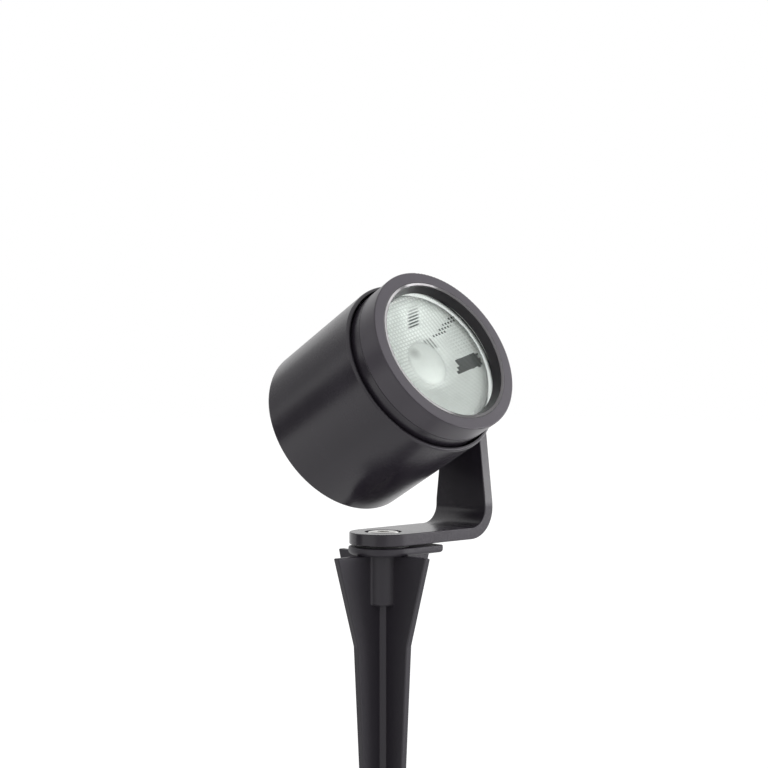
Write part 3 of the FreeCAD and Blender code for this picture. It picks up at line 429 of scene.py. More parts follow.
def clear_glass(name, tint):
    """Flat clear glass with a ground, white edge."""
    s = Shader(name)
    low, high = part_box("front_glass")
    radius = (high[0] - low[0]) / 2 / MM
    depth, softness = GLASS_EDGE
    edge = s.head_place()[3].above(radius - depth, softness)
    clear = s.principled(Base_Color=s.tint(tint, s.noise(GLASS_SMEAR), *GLASS_TONES), Roughness=0.0,
                         IOR=GLASS_IOR, Transmission_Weight=1.0)
    grain = s.noise(GLASS_EDGE_GRAIN)
    ground = s.principled(Base_Color=s.tint(GLASS_EDGE_COLOR, grain, *GLASS_EDGE_TONES),
                          Roughness=GLASS_EDGE_ROUGHNESS)
    return s.finish(s.blend(edge, clear, ground))


# The optic. Lengths are in millimetres, and heights are forward of the tilt axis.

OPTIC_FRONT = 22.55
OPTIC_RIM = (25.0, 20.95)           # radius, height of its back
OPTIC_RIM_GROOVE = (23.5, 21.3)     # radius and height of its foot, from where it slopes up to the rim
OPTIC_FLANK = (22.3, 6.6, 7.2)      # top radius, foot radius, height of the foot
OPTIC_FLANK_BULGE = 1.9
OPTIC_WELL = (7.8, 3.9, 0.9)        # radius, depth, crown of its domed floor
OPTIC_POCKET = (4.9, 4.0, 1.0)      # radius, depth, crown; it holds the light source
OPTIC_MOUTH = 22.4                  # radius where the dish round the well ends
OPTIC_FIELD_EDGE = 23.4             # radius where the cells end
CELL_MARGINS = (0.3, 0.5)           # outside the well, inside the field's edge
CELL_ROWS = 44
CELL_STEPS = 4                      # faces along one side of a cell
ROUND_STEPS = 192
OPTIC_SHARP_ANGLE = math.radians(20)

# The finish of the optic
OPTIC_ROUGHNESS, OPTIC_ROUGH, OPTIC_METALLIC, OPTIC_IOR = 0.52, 0.06, 0.5, 1.2
OPTIC_CLOUD, OPTIC_TONES = 0.004, (0.96, 1.04)
OPTIC_GRAIN, OPTIC_RELIEF = 0.0003, 0.000004
OPTIC_RIM_FADE = 1.2                # width over which the body turns white towards the rim, as painted light caught in the rim
CLEAR_COLOR, CLEAR_TONES = (0.985, 0.995, 0.99), (0.99, 1.0)
CLEAR_ROUGHNESS, CLEAR_IOR = 0.03, 1.49
BRIGHT_START = (0.05, 0.1)          # where the groove's slope is mirror bright: outside its foot, softness
BRIGHT_SMOOTHER = 0.3
# Colour of the painted reflections of dark parts of the lamp
PAINTED_REFLECTION_COLOR = (0.02, 0.028, 0.026)

# Painted reflections: dark patches, dots, bars, streaks and seams painted on the cells where they would
# mirror dark parts of the lamp. They are set out in columns and rows of cells, along lines that slant by this
# much across and up for each millimetre of depth in the dish.
# A stripe is its middle, its half width and its softness. A start or an end is its place and its softness.
PATTERN_SLANT = (1.05, 0.53)
PAINTED_REFLECTION_START = (0.1, 0.1)             # outside the well
PAINTED_REFLECTION_END = (0.2, 0.2)               # inside the field's edge
PAINTED_REFLECTION_FLOOR = (0.4, 0.1)             # below the dish's deepest place
# A side is the share of the column, the share of the row, and the least that their sum may be.
PATCH_SIDES = ((0.4045, 0.2355, 3.07), (-0.133, 1.0, 1.87), (0.053, -1.0, -6.72), (-0.351, -0.16, -5.08))
PATCH_SOFTNESS = 0.1
PATCH_STEP = 0.6                    # share of a cell by which the patch's edge is stepped
PATCH_CHANCE = 0.25                 # raggedness of its edge
PATCH_SEAM, PATCH_SEAM_PALER = (0.0, 0.1, 0.12), 0.2
DOT_SIDES = ((0, 1, -9.5), (0, -1, 5.5), (1, 2.6, -11.9), (-1, -2.6, 7.3))
DOT_SOFTNESS = 0.8
DOT = ((0.76, 0.26, 0.2), (0.34, 0.3, 0.2))       # along the row, along the column
DOT_GAIN = 1.6
BAR_LEAN, BAR_REACH = 0.78, (-6.7, 1.95, 1.3)
BAR_PITCH = (-10.45, 0.85, 40.5)    # first bar, rows from one to the next, bars added to stay above 0
BAR_WIDTH = (0.5, 0.3, 0.24)
BAR_START, BAR_END = (-15.0, 4.5), (-10.0, 0.2)
STREAK_LEAN, STREAK_REACH = -0.12, (2.7, 1.5, 0.7)
STREAK_START, STREAK_END = (-5.8, 0.8), (-2.3, 0.9)
STREAK_GAP, STREAK_DARKNESS = (0.55, 0.2, 0.4), 0.7
CELL_MIDDLE = (0.5, 0.3, 0.3)
# Where the seams between cells are darkened with painted reflections: share of the place across and up, least
# sum, softness, darkness
COLUMN_SEAM_REFLECTIONS = (-0.35, 0.9, 3.0, 10.0, 0.26)
ROW_SEAM_REFLECTIONS = (-1.2, 1.0, 8.0, 14.0, 0.26)
LATTICE_RIGHT = (0.9, -0.1, 8.0, 6.0, 0.22)
LATTICE_TOP = (-0.1, 1.0, 1.0, 5.0, 1.0)
WELL_BRINK = (OPTIC_WELL[0], 0.35, 0.9)           # the well's edge, darkened with painted shade
WELL_BRINK_SHADE = 0.16
WELL_PAINTED_REFLECTION = ((-4.6, 3.4, 0), 1.8, 2.2)          # painted reflection of the dark holder in the dome: middle, radius, softness
WELL_PAINTED_REFLECTION_DARKNESS = 0.34


def highest(*masks):
    """The highest of some masks."""
    top = masks[0]
    for mask in masks[1:]:
        top = top.math("MAXIMUM", mask)
    return top


def region(across, up, place):
    """1 on one side of a slanting line, times the darkness that goes with it."""
    across_share, up_share, least, softness, darkness = place
    return (across * across_share + up * up_share).above(least, softness) * darkness


def within(sides, column, row, softness, chance=0.0):
    """1 where all the sides hold, with an edge that chance makes ragged."""
    inside = 1.0
    for column_share, row_share, least in sides:
        total = column * column_share + row * row_share + chance
        inside = inside * total.above(least, softness)
    return inside


def painted_cell_reflections(s, optic, across, up):
    """How dark the painted reflections make the optic, by the cells' columns and rows."""
    (row_across, row_up), (column_across, column_up) = [
        [length / MM for length in step] for step in (optic.row_step, optic.column_step)]
    area = row_across * column_up - row_up * column_across
    x = across * (column_up / area) - up * (column_across / area)
    y = up * (row_across / area) - across * (row_up / area)
    column, row = x.math("FLOOR"), y.math("FLOOR")
    in_x, in_y = x - column, y - row
    cell = s.add("ShaderNodeCombineXYZ", {}, {0: column, 1: row})
    chance = s.add("ShaderNodeTexWhiteNoise", {"noise_dimensions": "2D"}, {"Vector": cell})

    stepped = [place - share * PATCH_STEP + PATCH_STEP / 2 for place, share in ((x, in_x), (y, in_y))]
    patch = within(PATCH_SIDES, *stepped, PATCH_SOFTNESS, chance * PATCH_CHANCE)
    patch = patch * (1 - in_x.near(*PATCH_SEAM) * PATCH_SEAM_PALER)

    dots = within(DOT_SIDES, column, row, DOT_SOFTNESS)
    dots = dots * in_x.near(*DOT[0]) * in_y.near(*DOT[1])
    dots = (dots * DOT_GAIN).math("MINIMUM", 1.0)

    first, pitch, added = BAR_PITCH
    along_bar = ((y - first) / pitch + added).math("FRACT")
    bars = (x + y * BAR_LEAN).near(*BAR_REACH) * along_bar.near(*BAR_WIDTH)
    bars = bars * y.above(*BAR_START) * (1 - y.above(*BAR_END))

    streaks = (x + y * STREAK_LEAN).near(*STREAK_REACH) * (1 - in_x.near(*STREAK_GAP))
    streaks = streaks * y.above(*STREAK_START) * (1 - y.above(*STREAK_END))

    mid_x, mid_y = in_x.near(*CELL_MIDDLE), in_y.near(*CELL_MIDDLE)
    columns = (1 - mid_x) * region(across, up, COLUMN_SEAM_REFLECTIONS)
    rows = (1 - mid_y) * region(across, up, ROW_SEAM_REFLECTIONS)
    lattice = mid_x * mid_y * region(across, up, LATTICE_RIGHT) * region(across, up, LATTICE_TOP)
    return highest(patch, dots, bars, streaks * STREAK_DARKNESS, columns, rows, lattice)


def optic_plastic(optic):
    """Silvery clear plastic, turning white towards the rim as painted light, with painted reflections of dark
    parts of the lamp.
    """
    s = Shader("optic_clear")
    across, up, forward, reach = s.head_place()
    well_radius, well_depth = OPTIC_WELL[:2]
    field = reach.above(well_radius + PAINTED_REFLECTION_START[0], PAINTED_REFLECTION_START[1])
    field = field * (1 - reach.above(OPTIC_FIELD_EDGE - PAINTED_REFLECTION_END[0], PAINTED_REFLECTION_END[1]))
    field = field * forward.above(OPTIC_FRONT - well_depth - PAINTED_REFLECTION_FLOOR[0], PAINTED_REFLECTION_FLOOR[1])
    deep = OPTIC_FRONT - forward
    # Painted reflections of dark parts of the lamp, in the cells
    painted_reflections = painted_cell_reflections(s, optic, across - deep * PATTERN_SLANT[0], up - deep * PATTERN_SLANT[1])

    # Painted shade along the well's brink
    brink_shade = reach.near(*WELL_BRINK) * WELL_BRINK_SHADE
    # A painted reflection of the dark holder: a dark crescent in the dome
    middle, radius, softness = WELL_PAINTED_REFLECTION
    place = s.add("ShaderNodeCombineXYZ", {}, {0: across, 1: up})
    away = s.add("ShaderNodeVectorMath", {"operation": "DISTANCE"}, {0: place, 1: middle}, out="Value")
    painted_dome_reflection = (1 - away.above(radius, softness)) * WELL_PAINTED_REFLECTION_DARKNESS * (1 - field)
    # The painted reflections and the painted shade together
    dark = highest(painted_reflections * field, brink_shade, painted_dome_reflection)

    # The body turns white towards the rim: painted light caught in the rim
    rim = reach.above(OPTIC_FIELD_EDGE - OPTIC_RIM_FADE, OPTIC_RIM_FADE)
    bright = reach.above(OPTIC_RIM_GROOVE[0] + BRIGHT_START[0], BRIGHT_START[1])
    cloud = s.noise(OPTIC_CLOUD)
    base = s.mix(rim, s.tint(optic.body_color, cloud, *OPTIC_TONES), WHITE)
    clear = s.principled(Base_Color=s.tint(CLEAR_COLOR, cloud, *CLEAR_TONES), Roughness=CLEAR_ROUGHNESS,
                         IOR=CLEAR_IOR, Transmission_Weight=1.0)
    body = s.principled(
        Base_Color=s.mix(dark, base, PAINTED_REFLECTION_COLOR), IOR=OPTIC_IOR,
        Roughness=OPTIC_ROUGHNESS + cloud * OPTIC_ROUGH - bright * BRIGHT_SMOOTHER,
        Metallic=OPTIC_METALLIC + bright * (1 - OPTIC_METALLIC),
        Normal=s.bump(s.noise(OPTIC_GRAIN), OPTIC_RELIEF))
    haze = highest(rim * (1 - optic.haze) + optic.haze, dark)
    return s.finish(s.blend(haze, clear, body))


def paint_all(material, *names):
    """Give the frame's nodes their material."""
    for name in names:
        node = NODES[name]
        node.data.materials.clear()
        node.data.materials.append(material)


# Meshes

def new_object(name, data):
    thing = bpy.data.objects.new(name, data)
    bpy.context.scene.collection.objects.link(thing)
    return thing


def mesh_of(name, bm, matrix):
    """A finished mesh from a bmesh, at its place in the frame."""
    bm.transform(matrix)
    mesh = bpy.data.meshes.new(name)
    bm.to_mesh(mesh)
    bm.free()
    return mesh


def sheet(name, size, matrix, material, faces=1):
    """A flat rectangle for the studio, with its middle and its axes where the matrix says."""
    bm = bmesh.new()
    bmesh.ops.create_grid(bm, x_segments=faces, y_segments=faces, size=0.5)
    mesh = mesh_of(name, bm, matrix @ Matrix.Diagonal((*size, 1, 1)))
    mesh.materials.append(material)
    return new_object(name, mesh)


class GeometryTree:
    """A Geometry Nodes tree under construction, with named inputs."""

    def __init__(self, name, inputs):
        self.tree = bpy.data.node_groups.new(name, "GeometryNodeTree")
        self.tree.is_modifier = True
        self.tree.interface.new_socket(
            "Geometry", in_out="OUTPUT", socket_type="NodeSocketGeometry")
        self.values = {}
        for key, (kind, value) in inputs.items():
            socket = self.tree.interface.new_socket(key, in_out="INPUT", socket_type=kind)
            self.values[socket.identifier] = value
        self.source = self.tree.nodes.new("NodeGroupInput")
        self.sink = self.tree.nodes.new("NodeGroupOutput")

    def input(self, key):
        return self.source.outputs[key]

    def add(self, kind, settings=None, values=None):
        """Any node: its settings first, then the values or links of its sockets."""
        node = self.tree.nodes.new(kind)
        for key, value in (settings or {}).items():
            setattr(node, key, value)
        for key, value in (values or {}).items():
            socket = node.inputs[key]
            if isinstance(value, bpy.types.NodeSocket):
                self.tree.links.new(value, socket)
            else:
                socket.default_value = value
        return node

    def math(self, operation, *values):
        return self.add("ShaderNodeMath", {"operation": operation}, dict(enumerate(values))).outputs[0]

    def vector(self, operation, *values, out="Vector"):
        return self.add("ShaderNodeVectorMath", {"operation": operation},
                        dict(enumerate(values))).outputs[out]

    def join(self, geometry):
        """Realize the instances, give them their material and make that the tree's result."""
        real = self.add("GeometryNodeRealizeInstances", {}, {"Geometry": geometry})
        done = self.add("GeometryNodeSetMaterial", {}, {
            "Geometry": real.outputs[0], "Material": self.input("Material")})
        self.tree.links.new(done.outputs[0], self.sink.inputs[0])

    def mesh(self, name):
        """Run the tree and return its result as a plain mesh."""
        carrier = new_object(name + "_carrier", bpy.data.meshes.new(name + "_carrier"))
        modifier = carrier.modifiers.new(name, "NODES")
        modifier.node_group = self.tree
        for identifier, value in self.values.items():
            modifier[identifier] = value
        depsgraph = bpy.context.evaluated_depsgraph_get()
        mesh = bpy.data.meshes.new_from_object(carrier.evaluated_get(depsgraph))
        mesh.name = name
        carrier.modifiers.clear()
        empty = carrier.data
        bpy.data.objects.remove(carrier)
        bpy.data.meshes.remove(empty)
        return mesh


def cell_field(optic, material):
    """Pillow cells on a slanting grid over the optic's dish, as Geometry Nodes; millimetres."""
    g = GeometryTree("optic_cells", {
        "Row Step": ("NodeSocketVector", (optic.row_step[0] / MM, optic.row_step[1] / MM, 0)),
        "Column Step": ("NodeSocketVector", (optic.column_step[0] / MM, optic.column_step[1] / MM, 0)),
        "Crown": ("NodeSocketFloat", optic.cell_crown / MM),
        "Inner Radius": ("NodeSocketFloat", OPTIC_WELL[0] + CELL_MARGINS[0]),
        "Mouth Radius": ("NodeSocketFloat", OPTIC_MOUTH),
        "Mouth Depth": ("NodeSocketFloat", OPTIC_WELL[1]),
        "Outer Radius": ("NodeSocketFloat", OPTIC_FIELD_EDGE - CELL_MARGINS[1]),
        "Material": ("NodeSocketMaterial", material),
    })
    points = CELL_ROWS * CELL_STEPS + 1
    grid = g.add("GeometryNodeMeshGrid", {}, {
        "Size X": CELL_ROWS, "Size Y": CELL_ROWS, "Vertices X": points, "Vertices Y": points})
    place = g.add("GeometryNodeInputPosition").outputs[0]
    apart = g.add("ShaderNodeSeparateXYZ", {}, {0: place})
    bulge, ways = 1, []
    for axis, step in (("X", "Row Step"), ("Y", "Column Step")):
        share = g.math("FRACT", g.math("ADD", apart.outputs[axis], CELL_ROWS))
        arch = g.math("MULTIPLY", g.math("MULTIPLY", share, g.math("SUBTRACT", 1, share)), 4)
        bulge = g.math("MULTIPLY", arch, bulge)
        ways.append(g.add("ShaderNodeVectorMath", {"operation": "SCALE"}, {
            0: g.input(step), "Scale": apart.outputs[axis]}).outputs[0])
    along = g.vector("ADD", *ways)
    dish = g.add("ShaderNodeMapRange", {"interpolation_type": "SMOOTHSTEP"}, {
        "Value": g.vector("LENGTH", along, out="Value"),
        "From Min": g.input("Inner Radius"), "From Max": g.input("Mouth Radius"),
        "To Min": g.math("MULTIPLY", g.input("Mouth Depth"), -1), "To Max": 0.0}).outputs[0]
    height = g.math("MULTIPLY_ADD", bulge, g.input("Crown"), dish)
    rise = g.add("ShaderNodeCombineXYZ", {}, {"Z": height}).outputs[0]
    laid = g.add("GeometryNodeSetPosition", {}, {
        "Geometry": grid.outputs["Mesh"], "Position": g.vector("ADD", along, rise)})
    reach = g.vector("LENGTH", g.vector("MULTIPLY", place, (1, 1, 0)), out="Value")
    spare = g.math("ADD", g.math("LESS_THAN", reach, g.input("Inner Radius")),
                   g.math("GREATER_THAN", reach, g.input("Outer Radius")))
    ring = g.add("GeometryNodeDeleteGeometry", {"domain": "FACE"}, {
        "Geometry": laid.outputs[0], "Selection": spare})
    g.join(ring.outputs[0])
    return g.mesh("optic_cells")


def spun(bm, profile):
    """Surface of revolution about Z from (radius, z) points; returns its rings of vertices."""
    angles = [2 * math.pi * n / ROUND_STEPS for n in range(ROUND_STEPS)]
    rings = []
    for radius, z in profile:
        if radius < 1e-6:
            rings.append([bm.verts.new((0, 0, z))])
        else:
            rings.append([bm.verts.new((radius * math.cos(a), radius * math.sin(a), z)) for a in angles])
    for ring, after in zip(rings, rings[1:]):
        for n in range(ROUND_STEPS):
            m = (n + 1) % ROUND_STEPS
            around = ((ring, n), (ring, m), (after, m), (after, n))
            face = list(dict.fromkeys(verts[k % len(verts)] for verts, k in around))
            if len(face) > 2:
                bm.faces.new(face)
    return rings


def dome_profile(radius, base, height, steps=10):
    """Points of a shallow crown from its edge to its middle."""
    ball = (radius ** 2 + height ** 2) / (2 * height)
    centre = base + height - ball
    points = []
    for n in range(steps + 1):
        r = radius * (1 - n / steps)
        points.append((r, centre + math.sqrt(ball ** 2 - r ** 2)))
    return points


def flank_profile(steps=24):
    """Points of the bulging flank, from the rim to the foot."""
    top_radius, foot_radius, foot = OPTIC_FLANK
    a, b = Vector((foot_radius, foot)), Vector((top_radius, OPTIC_RIM[1]))
    along = (b - a).normalized()
    outward = Vector((along.y, -along.x))
    half = (b - a).length / 2
    ball = (half ** 2 + OPTIC_FLANK_BULGE ** 2) / (2 * OPTIC_FLANK_BULGE)
    centre = (a + b) / 2 + outward * (OPTIC_FLANK_BULGE - ball)
    turn = math.asin(half / ball)
    points = []
    for n in range(steps + 1):
        angle = turn - 2 * turn * n / steps
        points.append(tuple(centre + outward * (ball * math.cos(angle)) + along * (ball * math.sin(angle))))
    return points


def optic_body(cells, crown):
    """A closed bmesh round the field of cells: well, groove, rim, flank and pocket."""
    bm = bmesh.new()
    bm.from_mesh(cells)
    bmesh.ops.translate(bm, vec=(0, 0, OPTIC_FRONT - crown), verts=bm.verts)
    loops = [edge for edge in bm.edges if edge.is_boundary]
    well_radius, well_depth, well_crown = OPTIC_WELL
    well = spun(bm, dome_profile(well_radius, OPTIC_FRONT - well_depth, well_crown))
    rim_radius, rim_back = OPTIC_RIM
    foot = OPTIC_FLANK[2]
    pocket_radius, pocket_depth, pocket_crown = OPTIC_POCKET
    pocket_side = foot + pocket_depth - pocket_crown
    outside = spun(bm, [
        OPTIC_RIM_GROOVE, (rim_radius, OPTIC_FRONT), (rim_radius, rim_back), *flank_profile(),
        (pocket_radius, foot), *dome_profile(pocket_radius, pocket_side, pocket_crown)])
    for ring in (well[0], outside[0]):
        loops += [edge for edge in {e for v in ring for e in v.link_edges}
                  if edge.verts[0] in ring and edge.verts[1] in ring]
    bmesh.ops.triangle_fill(bm, edges=loops, use_beauty=True, normal=(0, 0, 1))
    if any(edge.is_boundary or edge.is_wire for edge in bm.edges):
        raise RuntimeError("the optic isn't closed")
    bmesh.ops.recalc_face_normals(bm, faces=bm.faces)
    return bm


# Knurl of the tilt bolt's head, in millimetres

BOLT_HEAD = (5.0, 4.0)              # radius, height
KNURL = (0.2, 2.4)                  # radius and length of a ridge
KNURL_SINK = 0.4                    # share of a ridge's radius that is let into the head
KNURL_SIDES = 8


def knurl_mesh(ridges, material):
    """Rods let into the side of the bolt's head, as Geometry Nodes, at their place in the frame."""
    g = GeometryTree("bolt_knurl", {
        "Ridges": ("NodeSocketInt", ridges),
        "Ring Radius": ("NodeSocketFloat", BOLT_HEAD[0] * MM),
        "Ridge Radius": ("NodeSocketFloat", KNURL[0] * MM),
        "Ridge Length": ("NodeSocketFloat", KNURL[1] * MM),
        "Material": ("NodeSocketMaterial", material),
    })
    sink = g.math("MULTIPLY", g.input("Ridge Radius"), KNURL_SINK)
    ring = g.add("GeometryNodeMeshCircle", {}, {
        "Vertices": g.input("Ridges"), "Radius": g.math("SUBTRACT", g.input("Ring Radius"), sink)})
    rod = g.add("GeometryNodeMeshCylinder", {"fill_type": "NGON"}, {
        "Vertices": KNURL_SIDES, "Radius": g.input("Ridge Radius"), "Depth": g.input("Ridge Length")})
    rods = g.add("GeometryNodeInstanceOnPoints", {}, {
        "Points": ring.outputs[0], "Instance": rod.outputs["Mesh"]})
    g.join(rods.outputs[0])
    mesh = g.mesh("pivot_bolt_knurl")
    bolt_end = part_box("pivot_bolt")[1][0]
    middle = Vector((bolt_end - BOLT_HEAD[1] * MM / 2, TILT_AXIS_POINT.y, TILT_AXIS_POINT.z))
    mesh.transform(Matrix.Translation(middle) @ Matrix.Rotation(QUARTER_TURN, 4, "Y"))
    return mesh


# Colour and roughness of the finishes that a user wouldn't change

BRASS = ((0.72, 0.55, 0.28), 0.3)
BLACK_PLASTIC = ((0.022, 0.022, 0.024), 0.45)
CAPACITOR_METAL = ((0.6, 0.6, 0.62), 0.35)
SEAL_COLOR = (0.018, 0.018, 0.019)
PAD_COLOR = (0.4, 0.4, 0.42)
STEEL_ROUGHNESS, BOLT_ROUGHNESS = 0.3, 0.28
QUARTER_TURN = math.radians(90)
# The mouldings inside the head: material, colour, roughness, node
ENGINE_MOULDINGS = (
    ("white_plastic", (0.82, 0.83, 0.81), 0.35, "optic_holder"),
    ("board_white", (0.82, 0.82, 0.8), 0.4, "led_board"),
    ("emitter_yellow", (0.85, 0.68, 0.18), 0.3, "led_chip"),
    ("lead_red", (0.42, 0.04, 0.03), 0.4, "led_leads"),
    ("board_green", (0.03, 0.16, 0.07), 0.35, "driver_board"),
    ("ferrite", (0.07, 0.065, 0.065), 0.6, "driver_inductor"),
)


# Operators, one for each piece or group of like pieces

class SPOTLIGHT_OT_spike(bpy.types.Operator):
    """Finish the moulded ground spike, its brass insert and the small black mouldings"""
    bl_idname = "spotlight.spike"
    bl_label = "Ground Spike"
    bl_options = {"REGISTER", "UNDO"}

    def execute(self, context):
        finish = context.scene.spotlight_finish
        spike_plastic = moulded_plastic("spike_plastic", finish.spike_color, finish.spike_roughness)
        paint_all(spike_plastic, "ground_spike")
        paint_all(turned_metal("brass", *BRASS), "spike_insert")
        paint_all(moulded_plastic("black_plastic", *BLACK_PLASTIC),
                  "swivel_washer", "friction_washer", "gland_body", "gland_locknut", "gland_cap",
                  "driver_chip")
        return {"FINISHED"}


class SPOTLIGHT_OT_metalwork(bpy.types.Operator):
    """Coat the bracket, sleeve, housing, bezel, spacer and cover"""
    bl_idname = "spotlight.metalwork"
    bl_label = "Coated Metal"
    bl_options = {"REGISTER", "UNDO"}

    def execute(self, context):
        finish = context.scene.spotlight_finish
        paint_all(powder_coat("coated_metal", finish.coat_color, finish.coat_roughness),
                  "bracket", "outer_sleeve", "lamp_housing", "pivot_spacer", "driver_cover")
        paint_all(bezel_coat("bezel_coating", finish.bezel_color, finish.bezel_roughness), "front_bezel")
        return {"FINISHED"}


class SPOTLIGHT_OT_fasteners(bpy.types.Operator):
    """Finish the stainless screws, bolt and washers, and knurl the bolt's head"""
    bl_idname = "spotlight.fasteners"
    bl_label = "Screws and Washers"
    bl_options = {"REGISTER", "UNDO"}

    def execute(self, context):
        finish = context.scene.spotlight_finish
        steel = finish.steel_color
        paint_all(turned_metal("swivel_screw_steel", steel, STEEL_ROUGHNESS), "swivel_screw")
        bolt_steel = turned_metal(
            "tilt_bolt_steel", steel, BOLT_ROUGHNESS, centre=TILT_AXIS_POINT, turn=(0, QUARTER_TURN, 0))
        paint_all(bolt_steel, "pivot_bolt", "lock_washer", "pivot_washer")
        paint_all(turned_metal("small_screw_steel", steel, STEEL_ROUGHNESS, centre=HEAD_CENTRE),
                  "board_screws", "driver_screws", "cover_screws")
        knurl = new_object("pivot_bolt_knurl", knurl_mesh(finish.knurl_ridges, bolt_steel))
        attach(knurl, "head")
        return {"FINISHED"}


class SPOTLIGHT_OT_window(bpy.types.Operator):
    """Glaze the window and finish the seals"""
    bl_idname = "spotlight.window"
    bl_label = "Window and Seals"
    bl_options = {"REGISTER", "UNDO"}

    def execute(self, context):
        paint_all(clear_glass("window_glass", context.scene.spotlight_optic.glass_tint), "front_glass")
        paint_all(rubber("seal_rubber", SEAL_COLOR),
                  "bezel_oring", "glass_gasket", "cover_oring", "gland_washer", "gland_seal")
        return {"FINISHED"}


class SPOTLIGHT_OT_optic(bpy.types.Operator):
    """Build the collimating optic with its dish of pillow cells and its domed well"""
    bl_idname = "spotlight.optic"
    bl_label = "Optic"
    bl_options = {"REGISTER", "UNDO"}

    def execute(self, context):
        optic = context.scene.spotlight_optic
        material = optic_plastic(optic)
        cells = cell_field(optic, material)
        mesh = mesh_of("collimator_optic", optic_body(cells, optic.cell_crown / MM), HEAD)
        bpy.data.meshes.remove(cells)
        mesh.materials.append(material)
        mesh.shade_smooth()
        mesh.set_sharp_from_angle(angle=OPTIC_SHARP_ANGLE)
        piece = new_object("collimator_optic", mesh)
        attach(piece, "head")
        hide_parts("optic")
        return {"FINISHED"}


class SPOTLIGHT_OT_light_engine(bpy.types.Operator):
    """Finish the light source, its holder and the driver"""
    bl_idname = "spotlight.light_engine"
    bl_label = "Light Source and Driver"
    bl_options = {"REGISTER", "UNDO"}

    def execute(self, context):
        for name, color, roughness, node in ENGINE_MOULDINGS:
            paint_all(moulded_plastic(name, color, roughness), node)
        paint_all(rubber("pad_grey", PAD_COLOR), "thermal_pad")
        paint_all(turned_metal("capacitor_metal", *CAPACITOR_METAL, centre=HEAD_CENTRE),
                  "driver_capacitors")
        return {"FINISHED"}


# Studio, in metres and degrees. Azimuth 0 is in front (-Y), 90 at the right (+X).

CAMERA_PLACE = (-0.355457, -0.376457, 0.061350)
CAMERA_TURN = 43.39                 # from +Y towards +X
CAMERA_DIP = 0.482
CAMERA_LENS, CAMERA_SENSOR = 72.23, 36            # millimetres
CAMERA_CLIP = (0.02, 50)
FLOOR_HEIGHT = -0.185
FLOOR_SIZE = 12.0
FLOOR_FACES = 2                     # along a side; the weight of the floor's light depends on them
FLOOR_WHITE = 1.12
FLOOR_SHADE_REACH = 0.35            # radius where the floor is halfway to plain white
LIGHT_TARGET = Vector((0, 0, 0.04))
KEY_AIM = (45, 15, 1.2)             # azimuth, elevation, distance
KEY_SIZE = (0.76, 0.70)
KEY_FADES = (0.2, 0.2, 0.02, 0.12)  # shares of its left, right, lower and upper side that dim to nothing
# Cards and cloths that show only as reflections: name, aim, size, glow
CARDS = (
    ("key_card", (45, 2, 1.2), (0.70, 0.20), 6.0),
    ("dark_flag", (-133, -6, 1.0), (0.5, 0.42), 0.08),
    ("front_flag", (-50, -4, 1.0), (0.7, 0.36), 0.45),
    ("rim_card", (98, 14, 1.2), (1.3, 0.8), 3.4),
    ("grey_flag", (-168, 14, 1.0), (0.66, 0.36), 0.42),
)


def aimed(azimuth, elevation, distance):
    """A place round the object, with its -Z towards the light target."""
    a, e = math.radians(azimuth), math.radians(elevation)
    away = Vector((math.sin(a) * math.cos(e), -math.cos(a) * math.cos(e), math.sin(e)))
    turn = (-away).to_track_quat("-Z", "Y").to_matrix().to_4x4()
    return Matrix.Translation(LIGHT_TARGET + away * distance) @ turn


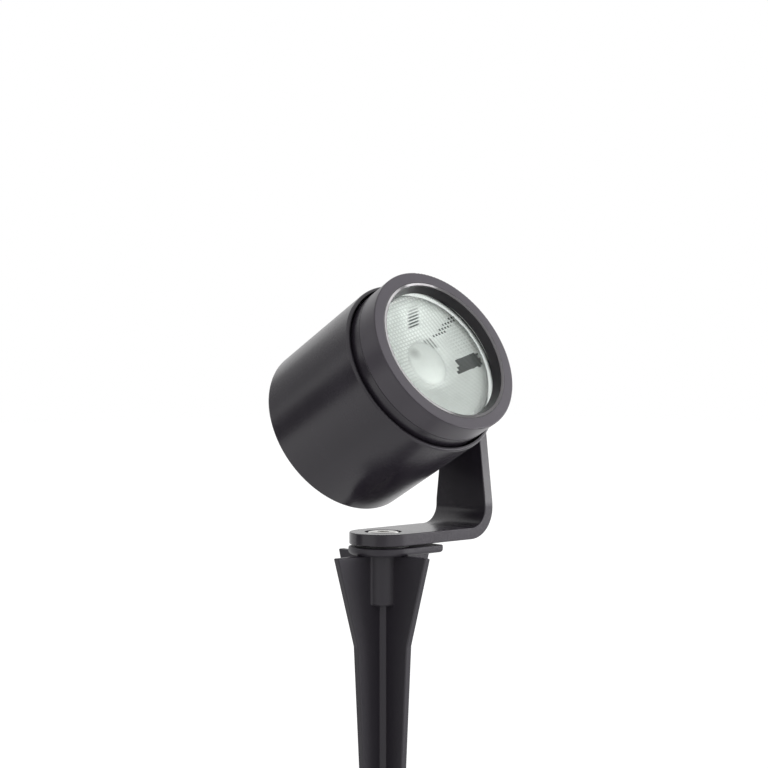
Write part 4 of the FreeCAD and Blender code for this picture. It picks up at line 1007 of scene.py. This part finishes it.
class SPOTLIGHT_OT_studio(bpy.types.Operator):
    """Set the floor, the lights, the world and the camera"""
    bl_idname = "spotlight.studio"
    bl_label = "Studio"
    bl_options = {"REGISTER", "UNDO"}

    def execute(self, context):
        scene = context.scene
        scene.view_settings.view_transform = "Standard"
        self.floor(scene.spotlight_studio)
        self.sky(scene)
        self.softbox(scene.spotlight_studio.key_power)
        for card in CARDS:
            self.card(*card)
        self.camera(scene)
        return {"FINISHED"}

    def floor(self, studio):
        """A pale floor that keeps the object's shadow and turns plain white further out."""
        s = Shader("studio_floor")
        diffuse = s.add("ShaderNodeBsdfDiffuse", {}, {"Color": rgba(studio.floor_color)})
        reach = s.add("ShaderNodeVectorMath", {"operation": "LENGTH"}, {
            0: s.place(scale=(1, 1, 0))}, out="Value")
        far = reach.above(FLOOR_SHADE_REACH, FLOOR_SHADE_REACH)
        share = far * (1 - studio.floor_glow) + studio.floor_glow
        s.finish(s.blend(s.seen_directly() * share, diffuse, s.emission(FLOOR_WHITE)))
        floor = sheet("studio_floor", (FLOOR_SIZE, FLOOR_SIZE),
                      Matrix.Translation((0, 0, FLOOR_HEIGHT)), s.material, FLOOR_FACES)

    def sky(self, scene):
        """An even sky that looks white."""
        world = bpy.data.worlds.new("studio_world")
        scene.world = world
        world.use_nodes = True
        s = NodeWiring(world.node_tree)
        strength = s.add("ShaderNodeMapRange", {}, {
            "Value": s.seen_directly(), "To Min": scene.spotlight_studio.sky_strength, "To Max": 1.0})
        background = s.existing("BACKGROUND")
        background.inputs["Color"].default_value = rgba(WHITE)
        s.tree.links.new(strength.socket, background.inputs["Strength"])

    def softbox(self, power):
        """A large soft light whose edges dim. It shows in no reflection, because the key card does."""
        data = bpy.data.lights.new("key_softbox", "AREA")
        data.shape = "RECTANGLE"
        data.size, data.size_y = KEY_SIZE
        data.energy = power
        data.use_nodes = True
        s = NodeWiring(data.node_tree)
        place = s.add("ShaderNodeNewGeometry", out="Parametric")
        cloth = 1.0
        for axis, (low, high) in enumerate((KEY_FADES[:2], KEY_FADES[2:])):
            along = s.add("ShaderNodeSeparateXYZ", {}, {0: place}, out=axis)
            cloth = along.above(low / 2, low) * (1 - along.above(1 - high / 2, high)) * cloth
        s.tree.links.new(cloth.socket, s.existing("EMISSION").inputs["Strength"])
        light = new_object("key_softbox", data)
        light.matrix_world = aimed(*KEY_AIM)
        light.visible_camera = light.visible_glossy = False

    def card(self, name, aim, size, glow):
        """A cloth or card beside the object, seen only as a reflection."""
        s = Shader(name + "_cloth")
        s.finish(s.emission(glow))
        flag = sheet(name, size, aimed(*aim), s.material)
        flag.visible_camera = flag.visible_diffuse = flag.visible_shadow = flag.visible_transmission = False

    def camera(self, scene):
        """The photo's camera."""
        data = bpy.data.cameras.new("camera")
        data.lens = CAMERA_LENS
        data.sensor_width = CAMERA_SENSOR
        data.clip_start, data.clip_end = CAMERA_CLIP
        camera = new_object("camera", data)
        turn, dip = math.radians(CAMERA_TURN), math.radians(CAMERA_DIP)
        look = Vector((math.sin(turn) * math.cos(dip), math.cos(turn) * math.cos(dip), -math.sin(dip)))
        camera.location = CAMERA_PLACE
        camera.rotation_euler = look.to_track_quat("-Z", "Y").to_euler()
        scene.camera = camera


class SPOTLIGHT_PT_panel(bpy.types.Panel):
    """The spotlight's pieces and settings"""
    bl_idname = "SPOTLIGHT_PT_panel"
    bl_label = "Garden Spike Spotlight"
    bl_space_type = "VIEW_3D"
    bl_region_type = "UI"
    bl_category = "Spotlight"

    def draw(self, context):
        for operator in OPERATORS:
            self.layout.operator(operator.bl_idname)
        for group in GROUPS:
            settings = getattr(context.scene, group)
            for key in settings.bl_rna.properties.keys():
                if key not in ("rna_type", "name"):
                    self.layout.prop(settings, key)


OPERATORS = [
    SPOTLIGHT_OT_spike, SPOTLIGHT_OT_metalwork, SPOTLIGHT_OT_fasteners, SPOTLIGHT_OT_window,
    SPOTLIGHT_OT_optic, SPOTLIGHT_OT_light_engine, SPOTLIGHT_OT_studio,
]
GROUPS = {
    "spotlight_finish": SpotlightFinish,
    "spotlight_optic": SpotlightOptic,
    "spotlight_studio": SpotlightStudio,
}


def register():
    for kind in list(GROUPS.values()) + OPERATORS + [SPOTLIGHT_PT_panel]:
        bpy.utils.register_class(kind)
    for name, kind in GROUPS.items():
        setattr(bpy.types.Scene, name, PointerProperty(type=kind))


def unregister():
    for name in GROUPS:
        delattr(bpy.types.Scene, name)
    for kind in [SPOTLIGHT_PT_panel] + OPERATORS[::-1] + list(GROUPS.values()):
        bpy.utils.unregister_class(kind)


def main():
    register()
    for operator in OPERATORS:
        group, name = operator.bl_idname.split(".")
        getattr(getattr(bpy.ops, group), name)()


if __name__ == "__main__":
    main()
